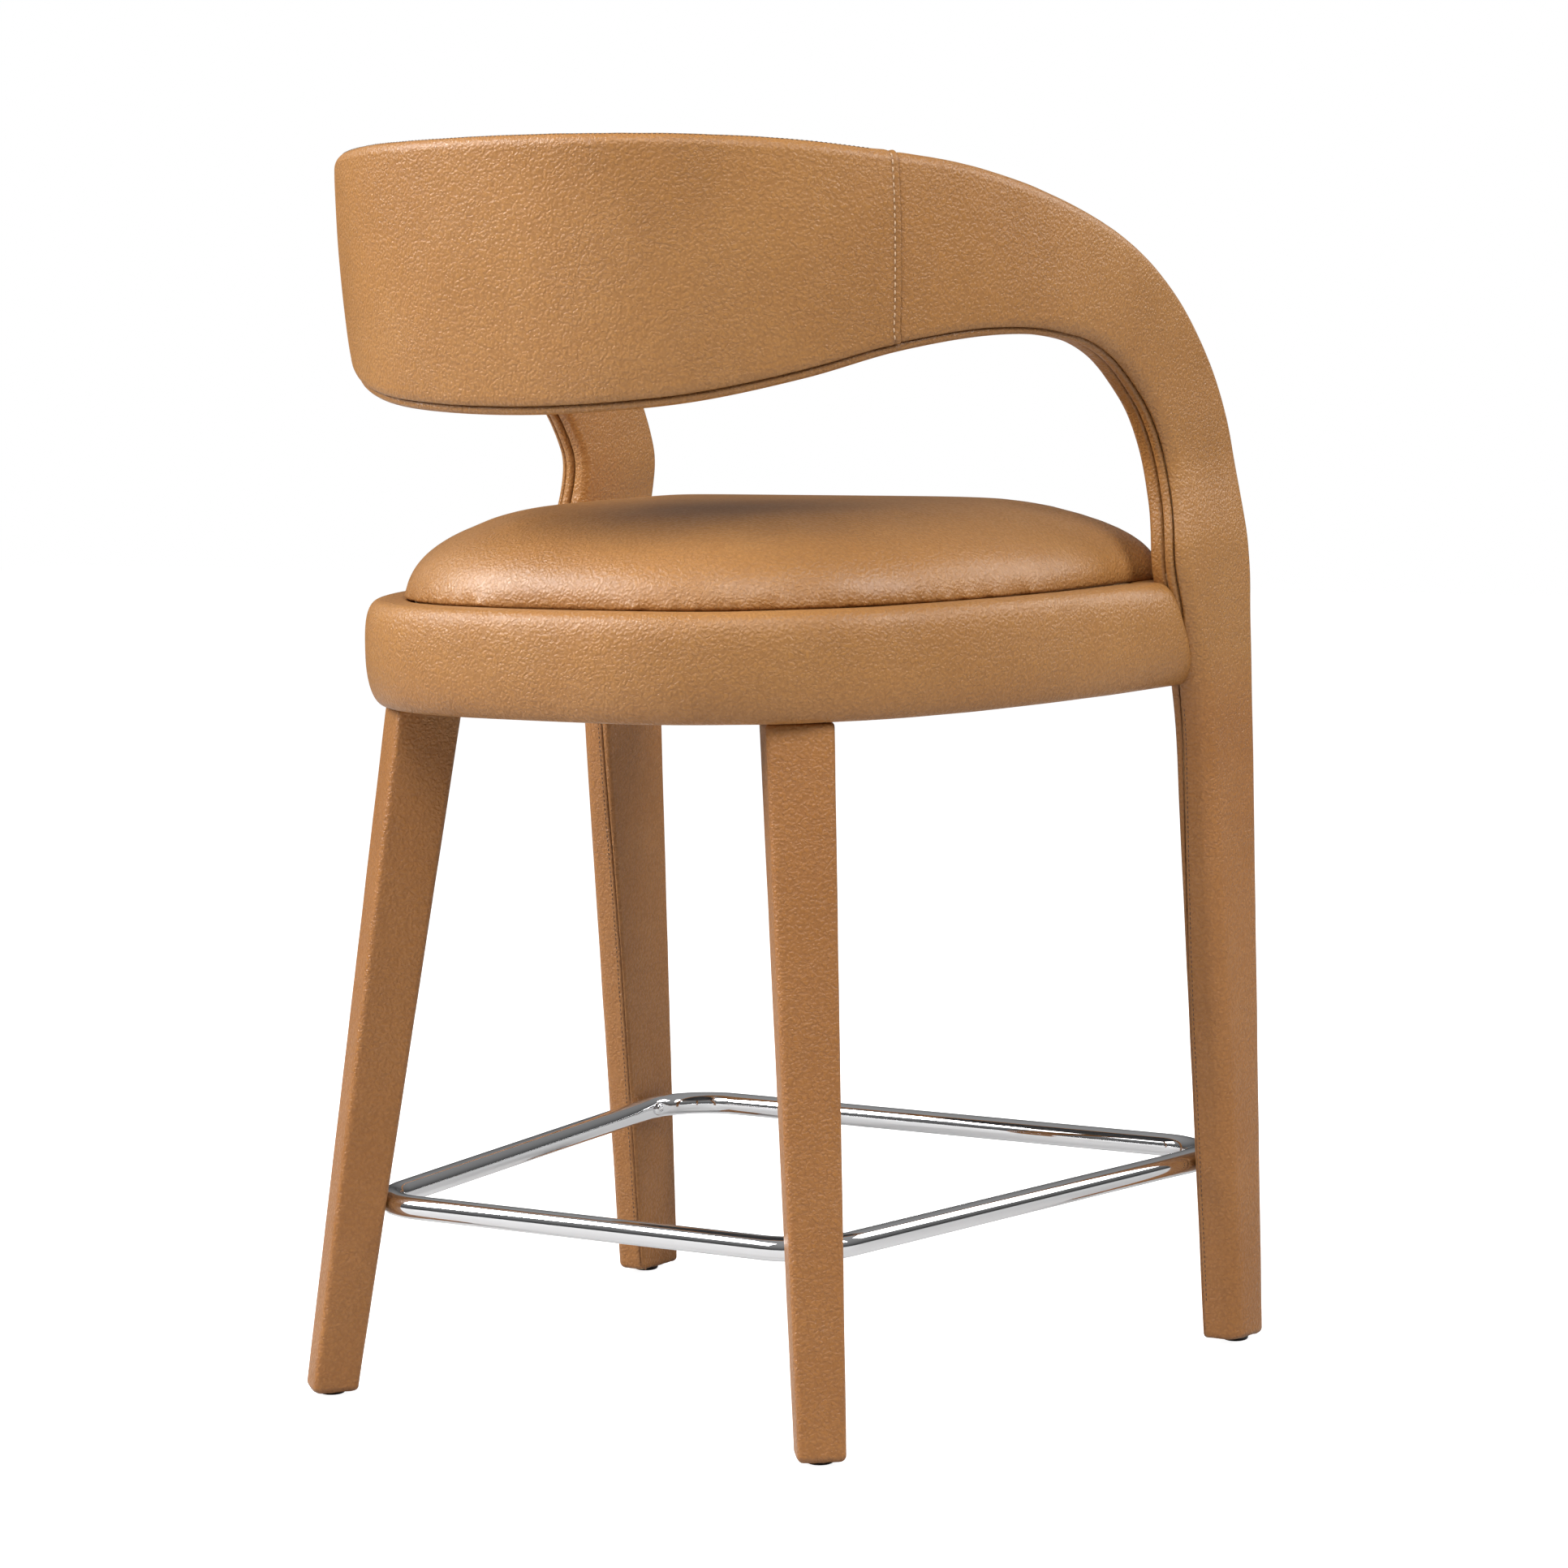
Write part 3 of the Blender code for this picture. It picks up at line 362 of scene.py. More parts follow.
def on_roll(depths, roll_in, roll_deep):
    """Inset of a padded edge's surface at these depths."""
    sine = np.clip(1 - depths / roll_deep, 0, 1)
    return roll_in * (1 - np.sqrt(1 - sine**2))


def profile(places, side, columns_face):
    """The section of the outer (side 0) or inner (1) cover, as rows x columns of four values.

    They are the weight (0 at the lower edge and 1 at the upper), the inset from that edge,
    the depth, and the distance to the nearer seam. The columns run from the lower seam over
    the face to the top seam.
    """
    outer, inner, first, second, top = section_sizes(places)
    rolls = (outer, inner)[side]
    seams = (first, top) if side == 0 else (THICKNESS - second, THICKNESS - top)
    one = np.ones(len(places))

    def edge(seam, weight):
        """Columns from a seam over its padded edge, to where the face begins."""
        columns = []
        roll_in, roll_deep = rolls[weight]
        flat = np.maximum(seam - roll_deep, 0)
        start = np.arcsin(np.clip(1 - seam / roll_deep, 0, 1))
        radius = (roll_in + roll_deep) / 2
        for d in SEAM_COLUMNS:
            over = np.maximum(d - flat, 0) / radius
            last = np.minimum(start + over, np.pi / 2)
            before = np.minimum(seam, roll_deep + flat) - np.minimum(d, flat)
            depth = np.where(over > 0, roll_deep * (1 - np.sin(last)), before)
            columns.append((weight * one, roll_in * (1 - np.cos(last)), depth, d * one))
        for step in range(1, ROLL_COLUMNS + 1):
            angle = last + (np.pi / 2 - last) * step / ROLL_COLUMNS
            away = d + (angle - last) * radius
            inset = roll_in * (1 - np.cos(angle))
            columns.append((weight * one, inset, roll_deep * (1 - np.sin(angle)), away))
        return columns

    columns = edge(seams[0], 0)
    for k in range(1, columns_face):
        inset = blend(rolls[0][0], rolls[1][0], k / columns_face)
        columns.append((k / columns_face * one, inset, 0 * one, FAR * one))
    columns += edge(seams[1], 1)[::-1]
    weights, insets, depths, away = (
        np.stack([column[k] for column in columns], axis=1) for k in range(4)
    )
    if side == 1:
        depths = THICKNESS - depths
    return weights, insets, depths, away


def wall_grid(places, weights, insets, depths):
    """Points for a section given as rows x columns of weights, insets and depths."""
    (upper, upper_normal), (lower, lower_normal) = wall_rows(places)
    low = lower[:, None] - lower_normal[:, None] * insets[..., None]
    high = upper[:, None] - upper_normal[:, None] * insets[..., None]
    flat = low + (high - low) * weights[..., None]
    return wall_point(flat[..., 0], flat[..., 1], depths)


def grid_normals(grid, sense=1):
    across = np.gradient(grid, axis=1)
    along = np.gradient(grid, axis=0)
    normals = np.cross(across, along) * sense
    return normals / np.maximum(np.linalg.norm(normals, axis=2)[..., None], 1e-12)


def lifted(grid, out, sense=1):
    """The grid, moved out along its normals."""
    return grid + grid_normals(grid, sense) * out[..., None]


def ripple(grid, size, seed=0.0):
    """Smooth noise over a grid's points, about -1 to 1, with features of this size."""
    flat = grid.reshape(-1, 3) / size + seed
    values = [noise.noise(Vector(point)) for point in flat]
    return np.array(values).reshape(grid.shape[:2])


def crown(weights, height):
    """Padding: a face stands out most in its middle."""
    return height * np.maximum(1 - (2 * weights - 1) ** 2, 0) ** 0.8


# ---- leather on the wall
SEAM_SHADE = 0.0009  # how far the painted shade beside a seam spreads
# how far the padding stands out in the middle of each cover
CENTRE_PADDING = 0.0022
SIDE_PADDING = 0.0014
INNER_PADDING = 0.0020
LEG_PADDING = 0.0004
STRIP_PADDING = 0.0012
INNER_END = 0.553  # heights where the seat hides the ends of the inner cover and of the strip
STRIP_END = 0.536
# heights and lengths of the leather's slow waves, and of its wrinkles near a seam
WAVES = (0.00025, 0.035)
WRINKLES = (0.00022, 0.008)
WRINKLE_REACH = 0.012
FACE_COLUMNS = 26
LEG_TOP = 0.56  # height at which the rows of the arm give way to the leg's longer ones
LEG_ROWS = 0.012

# how the leather turns under the wood of a leg: (angle of its fold, further inset)
FOLD = 0.0034
LEG_REACH = 0.020
PLEAT_WIDTH = 0.0045
PLEAT_DEPTHS = (0.0006, 0.0005)
UNDER_ROWS = tuple((math.radians(a), 0) for a in (15, 32, 50, 68, 90)) + (
    (math.pi / 2, 0.003),
    (math.pi / 2, 0.008),
)
LEG_BOTTOM = 0.0040 + FOLD


def spaced(start, stop, spacing):
    return np.linspace(start, stop, max(2, round(abs(stop - start) / spacing) + 1))


# painted shade: how dark the leather is painted at this distance from a seam, where its groove lies in
# shade
def painted_seam_shade(away):
    return np.exp(-np.asarray(away) / SEAM_SHADE)


def clothed(places, side, columns_face, padding, lift=None):
    """Points and seam shading of one leather cover, padded out between its sewn edges."""
    weights, insets, depths, away = profile(places, side, columns_face)
    grid = wall_grid(places, weights, insets, depths)
    heights = wall_rows(places)[1][0][:, 1]
    share = leg_share(heights)[:, None]
    out = crown(weights, padding) * (1 - share) + crown(weights, LEG_PADDING) * share
    out = out - lip(away, blend(LIP, LEG_LIP, share)) + WAVES[0] * ripple(grid, WAVES[1])
    out += WRINKLES[0] * ripple(grid, WRINKLES[1], 7.0) * np.exp(-away / WRINKLE_REACH)
    if lift is not None:
        out = out + lift[:, None]
    return lifted(grid, out, -1 if side else 1), painted_seam_shade(away)


def turned_under(grid, seam, centre):
    """Adds rows to a leg cover that fold it under the wood, with small pleats, and painted shade that
    darkens the leather as it turns under.
    """
    base = grid[-1]
    reach = centre - base
    reach[:, 2] = 0
    rows, shades = [grid], [seam]
    wave = ripple(base[None], PLEAT_WIDTH, 3.0)[0]
    for angle, under in UNDER_ROWS:
        inset = FOLD * (1 - math.cos(angle)) + under
        row = base + reach * (inset + PLEAT_DEPTHS[0] * wave * math.sin(angle))[:, None] / LEG_REACH
        row[:, 2] = base[:, 2] - FOLD * math.sin(angle) + PLEAT_DEPTHS[1] * wave * math.sin(angle)
        rows.append(row[None])
        # painted shade: darker the further the leather turns under the wood
        shades.append(np.full((1, len(base)), 0.15 + 0.5 * math.sin(angle)))
    return np.concatenate(rows), np.concatenate(shades)


def leg_centre():
    """The middle of a front leg where its leather turns under."""
    (upper, _), (lower, _) = wall_rows([WALL_END])
    middle = (upper[0] + lower[0]) / 2
    return wall_point(middle[0], LEG_BOTTOM, THICKNESS / 2)


def centre_panel():
    """The back's middle panel, whose folded ends lap over the side panels.

    Steps are distances from its ends, and raised is how far the fold stands out there.
    """
    steps = (0, 0.0002, 0.0006, 0.0014, 0.0034, 0.0047, 0.0060, 0.009, 0.013, 0.019)
    raised = (-0.0008, 0.0007, 0.0013, 0.0014, 0.0010, 0.0001, 0.0008, 0.0009, 0.0004, 0.0001)
    end = np.array([place_at(0, SEAM - step) for step in steps])
    middle = spaced(-end[-1], end[-1], 0.006)
    places = np.concatenate((-end, middle[1:-1], end[::-1]))
    lift = np.concatenate((raised, np.zeros(len(middle) - 2), raised[::-1]))
    grid, seam = clothed(places, 0, FACE_COLUMNS, CENTRE_PADDING, lift)
    # painted shade: the leather is darkened under the fold's edge where it laps over the side panel, and
    # along the stitch row's groove
    lap_shade = painted_seam_shade(np.abs(np.abs(places) - end[0]))[:, None]
    stitched = painted_seam_shade(np.abs(np.abs(places) - end[5]))[:, None]
    return grid, np.maximum(seam, np.maximum(lap_shade * 0.3, stitched * 0.55))


def arm_panel():
    """Side panel, arm and outer leg leather in one piece, down to the floor end of the leg.

    Steps and raised are as in the centre panel, under whose fold this one starts.
    """
    steps = (-0.0050, -0.0006, 0.0005, 0.0022, 0.006)
    raised = (-0.0026, -0.0016, -0.0007, -0.0001, 0)
    start = np.array([place_at(0, SEAM + step) for step in steps])
    leg = place_at(1, LEG_TOP)
    arch = spaced(start[-1], leg, 0.0055)
    column = spaced(leg, place_at(1, LEG_BOTTOM), LEG_ROWS)
    places = np.concatenate((start, arch[1:], column[1:]))
    lift = np.concatenate((raised, np.zeros(len(places) - len(raised))))
    grid, seam = clothed(places, 0, FACE_COLUMNS, SIDE_PADDING, lift)
    # painted shade: the side panel is darkened where it runs in under the centre panel's fold
    lap_shade = painted_seam_shade(np.abs(places - start[1]))[:, None]
    return turned_under(grid, np.maximum(seam, lap_shade * 0.6), leg_centre())


def leg_inner_panel():
    """The leg's leather on the side that faces the other leg."""
    places = spaced(place_at(1, LEG_TOP), place_at(1, LEG_BOTTOM), LEG_ROWS)
    grid, seam = clothed(places, 1, 12, LEG_PADDING)
    return turned_under(grid, seam, leg_centre())


def inner_panel():
    """The inside of the back and both arms, down to where the seat hides the arms."""
    end = place_at(1, INNER_END)
    return clothed(spaced(-end, end, 0.0065), 1, 24, INNER_PADDING)


def edge_strip():
    """The narrow sewn strip along the lower edge, between the outer and inner covers."""
    end = place_at(1, STRIP_END)
    places = spaced(-end, end, 0.005)
    outer, _, first, second, _ = section_sizes(places)
    width = second - first
    shares = np.array((0, 0.05, 0.13, 0.28, 0.5, 0.72, 0.87, 0.95, 1))
    depths = first[:, None] + width[:, None] * shares
    away = width[:, None] * np.minimum(shares, 1 - shares)
    bulge = STRIP_PADDING * (1 - (2 * shares - 1) ** 2) * np.minimum(width / 0.006, 1)[:, None]
    insets = on_roll(depths, *(size[:, None] for size in outer[0]))
    grid = wall_grid(places, np.zeros_like(depths), insets, depths)
    return lifted(grid, bulge - lip(away), -1), painted_seam_shade(away)


# ---- seat drum and cushion
DRUM_HALF_WIDTH = 0.270
DRUM_REAR = 0.260
DRUM_POWER = 2.88
DRUM_FRONT = -0.238
DRUM_FRONT_POWER = 7
DRUM_BOTTOM = 0.4945
DRUM_TOP = 0.5705
ARM_CLEARANCE = 0.2552
CUSHION_INSET = 0.026
CUSHION_BASE = 0.5692
CUSHION_HEIGHT = 0.0642
CUSHION_CENTRE = 0.011
CUSHION_REACH = 0.23  # typical distance from its edge to its centre
CUSHION_EDGE = 0.0022  # height of its lowest, upright rim
EDGE_REACH = 0.112  # how far in its rounded edge reaches
EDGE_POWERS = (2.2, 2.1)
CUSHION_DOME = 0.004  # rise of its top from the rounded edge to the middle
DOME_REACH = (0.02, 0.19)
# (distance in from the edge, height) of the rings underneath, and distances of the rings above
CUSHION_UNDER = ((0.14, 0), (0.06, 0), (0.02, 0), (0.004, 0.0001), (0.0008, 0.0008))
CUSHION_RINGS = (
    (0, 0.0006, 0.002, 0.0045, 0.008, 0.013, 0.020, 0.029, 0.040, 0.054, 0.070)
    + (0.090, 0.112, 0.138, 0.166, 0.194, 0.216)
)
FLARE = 0.0085  # the side leather spreads outwards to lie over the arm's rear face
END_TUCK = 0.0012
END_SLANT = 0.005  # the side leather reaches this much further forward at its lower edge
EDGE_FADE = 0.02
RETURN_DEPTH = 0.034
# (distance before the end, depth below the face) of the folded end of the side leather
FOLDED_END = (
    ((0.014, 0), (0.010, 0.0001), (0.007, 0.0003), (0.0045, 0.0008))
    + ((0.0026, 0.0018), (0.0012, 0.0032), (0.0003, 0.0050), (0, 0.0070))
)
# (inset, height) where the side leather returns over and under the drum
TOP_RETURN = ((0.030, 0.5675), (0.0285, 0.5695), (0.0265, 0.5703), (0.023, 0.5706), (0.019, 0.5707))
BOTTOM_RETURN = ((0.017, 0.4944), (0.022, 0.4943), (0.027, 0.4944), (0.032, 0.4947))
# upper and lower half of the side: how far it curves in, power, way, shares of a right angle
SIDE_HALVES = (
    (0.0140, 3, 1, np.linspace(1, 0, 15)),
    (0.0125, 2.2, -1, np.linspace(0, 1, 17)[1:]),
)
FRONT_GAP = 0.0006  # the front leather lies this far before the drum
DRUM_WAVES = (0.0003, 0.05)
DRUM_WRINKLES = (0.0003, 0.012)


def drum_section():
    """(inset, height) from the upper return, over the padded side, to the lower return."""
    middle, half = (DRUM_BOTTOM + DRUM_TOP) / 2, (DRUM_TOP - DRUM_BOTTOM) / 2
    points = list(TOP_RETURN)
    for deep, power, sense, shares in SIDE_HALVES:
        for angle in np.pi / 2 * shares:
            inset = deep * (1 - max(math.cos(angle), 0) ** (2 / power))
            points.append((inset, middle + sense * half * math.sin(angle) ** (2 / power)))
    return np.array(points + list(BOTTOM_RETURN))


def arm_rear(height):
    """Y of the arm's rear edge where the drum meets it."""
    top, bottom = LEG_LEVELS[0], LEG_LEVELS[2]
    share = (height - bottom[0]) / (top[0] - bottom[0])
    return bottom[2] + (top[2] - bottom[2]) * share


def drum_rear():
    """The leather round the sides and the rear of the drum, from one arm to the other."""
    section = drum_section()
    insets, heights = section[:, 0], section[:, 1]
    slant = END_SLANT * smoothstep(-heights, -0.56, -0.50)
    ends = (PLAN_CENTRE - arm_rear(heights)) + END_TUCK + slant
    rows, away = [], []

    def flared(y):
        spread = smoothstep(-y, -0.02, -(PLAN_CENTRE + 0.005))
        return FLARE * spread * np.exp(-insets / EDGE_FADE)

    for angle in np.pi / 2 * np.linspace(0, 1, 57):
        half = np.stack((DRUM_HALF_WIDTH - insets, DRUM_REAR - insets), axis=1)
        x = half[:, 0] * math.sin(angle) ** (2 / DRUM_POWER)
        y = PLAN_CENTRE + (half[:, 1] - PLAN_CENTRE) * max(math.cos(angle), 0) ** (2 / DRUM_POWER)
        rows.append(np.stack((x + flared(y), y, heights), axis=1))
        away.append(np.full(len(insets), FAR))
    for before, deeper in FOLDED_END:
        run = np.maximum(ends - before, 0.0008 - before * 0.05)
        y = PLAN_CENTRE - run
        deep = np.minimum(insets + deeper * np.exp(-insets / EDGE_FADE), RETURN_DEPTH)
        x = DRUM_HALF_WIDTH - deep
        rows.append(np.stack((x + flared(y), y, heights), axis=1))
        away.append(np.full(len(insets), before))
    half = np.array(rows)
    away = np.array(away)
    half[..., 1] -= MIDDLE_Y
    grid = np.concatenate((mirror_grid(half)[:0:-1], half))
    away = np.concatenate((away[:0:-1], away))
    out = DRUM_WAVES[0] * ripple(grid, DRUM_WAVES[1])
    out = out + DRUM_WRINKLES[0] * ripple(grid, DRUM_WRINKLES[1], 5.0) * np.exp(-away / 0.01)
    return lifted(grid, out, -1), painted_seam_shade(away)


def drum_front():
    """The leather along the drum's front, between the arms."""
    section = drum_section()
    rows = []
    for angle in np.pi / 2 * np.linspace(-1, 1, 65):
        s, c = abs(math.sin(angle)), max(math.cos(angle), 0)
        x = (ARM_CLEARANCE - section[:, 0]) * s ** (2 / DRUM_FRONT_POWER) * (1 if angle < 0 else -1)
        y = PLAN_CENTRE + (DRUM_FRONT + section[:, 0] - PLAN_CENTRE) * c ** (2 / DRUM_FRONT_POWER)
        rows.append(np.stack((x, y - FRONT_GAP - MIDDLE_Y, section[:, 1]), axis=1))
    grid = np.array(rows)
    return lifted(grid, DRUM_WAVES[0] * ripple(grid, DRUM_WAVES[1]), -1), np.zeros(grid.shape[:2])


def cushion_outline(steps):
    """Even points round the cushion's edge."""
    half, front = DRUM_HALF_WIDTH - CUSHION_INSET, DRUM_FRONT + CUSHION_INSET
    quarter = np.pi / 2 * np.linspace(0, 1, steps + 1)
    ahead = superellipse(half, front, DRUM_FRONT_POWER, quarter)
    behind = superellipse(half, DRUM_REAR - CUSHION_INSET, DRUM_POWER, quarter)[-2::-1]
    side = np.concatenate((ahead, behind))
    closed = np.concatenate((side, side[-2:0:-1] * (-1, 1), side[:1]))
    lengths = lengths_along(closed)
    return read_line(np.linspace(0, lengths[-1], 4 * steps, endpoint=False), lengths, closed)


def cushion_mesh():
    """The cushion as a closed crowned form, flat only underneath."""
    outline = cushion_outline(44)
    centre = np.array((0, CUSHION_CENTRE))
    rings = [(reach, CUSHION_BASE + level) for reach, level in CUSHION_UNDER]
    for reach in CUSHION_RINGS:
        share = min(reach / EDGE_REACH, 1)
        rise = (CUSHION_HEIGHT - CUSHION_DOME) * (1 - (1 - share) ** EDGE_POWERS[0]) ** (1 / EDGE_POWERS[1])
        rise += CUSHION_DOME * smoothstep(reach, *DOME_REACH)
        height = CUSHION_BASE + CUSHION_EDGE + float(rise) * (1 - CUSHION_EDGE / CUSHION_HEIGHT)
        rings.append((reach, height))
    verts = []
    for reach, height in rings:
        ring = centre + (outline - centre) * (1 - reach / CUSHION_REACH)
        verts += [(x, y - MIDDLE_Y, height) for x, y in ring]
    count = len(outline)
    faces = grid_faces(len(rings), count, closed=True)
    for ring, height, sense in ((0, rings[0][1], 1), (len(rings) - 1, rings[-1][1] + 0.0001, -1)):
        middle = len(verts)
        verts.append((0, CUSHION_CENTRE - MIDDLE_Y, height))
        start = ring * count
        for j in range(count):
            face = (start + j, middle, start + (j + 1) % count)
            faces.append(face[::sense])
    return smooth_mesh("seat_cushion", verts, faces)


def swell(cushion, cap):
    """Inflates the cushion as cloth under pressure, and keeps each point near its start."""
    remesh = cushion.modifiers.new("remesh", "REMESH")
    remesh.mode = "VOXEL"
    remesh.voxel_size = 0.0052
    applied(cushion)
    start = positions(cushion.data)
    cloth = cushion.modifiers.new("cloth", "CLOTH")
    settings = cloth.settings
    settings.quality = 5
    settings.mass = 0.3
    settings.use_pressure = True
    settings.uniform_pressure_force = 4
    settings.tension_stiffness = settings.compression_stiffness = 25
    settings.shear_stiffness = 10
    settings.bending_stiffness = 4
    settings.effector_weights.gravity = 0
    held = cushion.vertex_groups.new(name="held")
    low = start[:, 2] < CUSHION_BASE + 0.003
    held.add([int(k) for k in np.flatnonzero(low)], 1.0, "REPLACE")
    settings.vertex_group_mass = "held"
    for frame_number in range(1, 21):
        scene.frame_set(frame_number)
    graph = bpy.context.evaluated_depsgraph_get()
    swollen = bpy.data.meshes.new_from_object(cushion.evaluated_get(graph))
    shift = positions(swollen) - start
    length = np.linalg.norm(shift, axis=1)
    shift *= (cap * np.tanh(length / cap) / np.maximum(length, 1e-9))[:, None]
    cushion.modifiers.clear()
    scene.frame_set(1)
    cushion.data.vertices.foreach_set("co", (start + shift).ravel())
    cushion.data.update()
    smooth = cushion.modifiers.new("smooth_cells", "SMOOTH")
    smooth.factor = 0.5
    smooth.iterations = 14
    smooth.vertex_group = "held"
    smooth.invert_vertex_group = True
    applied(cushion)


def positions(mesh):
    found = np.empty(len(mesh.vertices) * 3)
    mesh.vertices.foreach_get("co", found)
    return found.reshape(-1, 3)


def applied(obj):
    """Bakes the object's modifiers into its mesh."""
    graph = bpy.context.evaluated_depsgraph_get()
    mesh = bpy.data.meshes.new_from_object(obj.evaluated_get(graph))
    obj.modifiers.clear()
    obj.data = mesh
    obj.data.shade_smooth()


# ---- rear legs
REAR_TOE = np.array((0.2113, 0.2373))
REAR_HEAD = np.array((0.1609, 0.1738))
REAR_LEVELS = (0.0045, 0.4928)
REAR_WIDTHS = (0.0308, 0.0450)
REAR_TURN = math.radians(50)
REAR_CORNER = 0.0035
REAR_BOW = 0.0004  # how far a face stands out in its middle
CORNER_POINTS = 7
SIDE_STEPS = 8
SEAM_CORNER = 2  # the leg's corner, of four, that its leather is sewn along
SEAM_COLUMN = SEAM_CORNER * (CORNER_POINTS + SIDE_STEPS - 1) + CORNER_POINTS // 2
REAR_ROWS = 44
REAR_WAVES = (0.0002, 0.03)
REAR_GROOVE = 0.0012  # depth and width of the groove along the seam
# (distance below the head, inset) of the leather folded over it
HEAD_FOLD = ((0.0005, 0.006), (0.0001, 0.0020), (0, 0.0008), (0.0005, 0.0001), (0.0014, 0))


def turned(angle):
    return np.array(((math.cos(angle), -math.sin(angle)), (math.sin(angle), math.cos(angle))))


def rounded_square(width, corner):
    """Points round a square with round corners and slightly bowed sides."""
    points = []
    half = width / 2
    flat = half - corner
    for quarter in range(4):
        angles = np.linspace(0, math.pi / 2, CORNER_POINTS)
        local = [(flat + corner * math.cos(a), flat + corner * math.sin(a)) for a in angles]
        side = np.linspace(flat, -flat, SIDE_STEPS + 1)[1:-1]
        local += [(x, half + REAR_BOW * (1 - (x / half) ** 2)) for x in side]
        turn = turned(quarter * math.pi / 2)
        points += [turn @ np.array(point) for point in local]
    return np.array(points)


def rear_leg(mirror):
    """A rear leg's leather sleeve, folded over the wood at both ends."""
    low, high = REAR_LEVELS
    levels = [(high - below, inset) for below, inset in HEAD_FOLD]
    levels += [(z, 0) for z in np.linspace(high - 0.004, low + 0.010, REAR_ROWS)]
    levels += [(LEG_BOTTOM + 0.001, 0), (LEG_BOTTOM, 0)]
    rows = []
    for height, inset in levels:
        share = (height - low) / (high - low)
        centre = REAR_TOE + (REAR_HEAD - REAR_TOE) * share
        width = REAR_WIDTHS[0] + (REAR_WIDTHS[1] - REAR_WIDTHS[0]) * share - 2 * inset
        corner = max(REAR_CORNER - inset * 0.5, 0.001)
        outline = rounded_square(width, corner) @ turned(REAR_TURN).T + centre
        rows.append(np.column_stack((outline, np.full(len(outline), height))))
    grid = np.array(rows)
    grid[..., 1] -= MIDDLE_Y
    normals = grid_normals(np.concatenate((grid, grid[:, :2]), axis=1), 1)[:, : grid.shape[1]]
    away = np.linalg.norm(grid - grid[:, SEAM_COLUMN : SEAM_COLUMN + 1], axis=2)
    body = (np.array([inset for _, inset in levels]) == 0)[:, None]
    groove = REAR_GROOVE * np.exp(-((away / REAR_GROOVE) ** 1.5))
    out = (REAR_WAVES[0] * ripple(grid, REAR_WAVES[1]) - groove) * body
    from_middle = grid - grid.mean(axis=1, keepdims=True)
    sign = np.sign((normals * from_middle).sum(axis=2, keepdims=True))
    grid = grid + normals * sign * out[..., None]
    centre = np.array((REAR_TOE[0], REAR_TOE[1] - MIDDLE_Y, LEG_BOTTOM))
    # painted shade: the sleeve is darkened along the groove of its sewn seam
    grid, shade = turned_under(grid, np.exp(-away / 0.002), centre)
    return mirror_grid(grid) if mirror else grid, shade


# ---- footrest
RING_HEIGHT = 0.1365
RING_RADIUS = 0.0086
RING_REAR = np.array((0.1913, 0.2119))
RING_FRONT = np.array((0.2535, -0.2609))
RING_BEND = 0.048
FLAT_INSIDE = 0.0070  # from the tube's centre line to the flat that a screw head sits on
FLAT_OUTSIDE = 0.0082
FLAT_REACH = 0.0105
FLAT_BULGE = 0.05  # share by which the pressed tube grows taller
BEND_STEPS = 32
RUN_STEPS = 12
TUBE_SIDES = 36
TURNED_SIDES = 48


def bend_middle(corner, before, after):
    """The centre of the bend that rounds a corner."""
    last, following = (v / np.linalg.norm(v) for v in (before - corner, after - corner))
    half = math.acos(float(last @ following)) / 2
    middle = last + following
    return corner + middle / np.linalg.norm(middle) * RING_BEND / math.sin(half)


def contacts():
    """Centre-line points nearest the left legs, each with the way outwards to its leg."""
    rear = bend_middle(RING_REAR, RING_FRONT, RING_REAR * (-1, 1))
    front = bend_middle(RING_FRONT, RING_FRONT * (-1, 1), RING_REAR)
    radial = np.array((math.cos(REAR_TURN), math.sin(REAR_TURN)))
    sideways = np.array((1.0, 0.0))
    return ((rear + radial * RING_BEND, radial), (front + sideways * RING_BEND, sideways))


def foot_on(corner, other, point):
    """A point's foot on the line from a corner to another."""
    way = (other - corner) / np.linalg.norm(other - corner)
    return corner + way * float((point - corner) @ way)


def ring_path():
    """Closed centre line, anticlockwise, as points and outward directions."""
    corners = [RING_FRONT * (-1, 1), RING_FRONT, RING_REAR, RING_REAR * (-1, 1)]
    points = []
    for k, corner in enumerate(corners):
        before, after, second = (corners[(k + step) % 4] for step in (-1, 1, 2))
        middle = bend_middle(corner, before, after)
        ends = [foot_on(corner, other, middle) for other in (before, after)]
        first, last = (math.atan2(*(end - middle)[::-1]) for end in ends)
        if last < first:
            last += 2 * math.pi
        for a in np.linspace(first, last, BEND_STEPS + 1):
            points.append(middle + RING_BEND * np.array((math.cos(a), math.sin(a))))
        start = points[-1]
        stop = foot_on(after, corner, bend_middle(after, corner, second))
        points += [start + (stop - start) * t for t in np.linspace(0, 1, RUN_STEPS + 1)[1:-1]]
    points = np.array(points)
    along = unit(np.roll(points, -1, axis=0) - np.roll(points, 1, axis=0))
    return points, np.stack((along[:, 1], -along[:, 0]), axis=1)


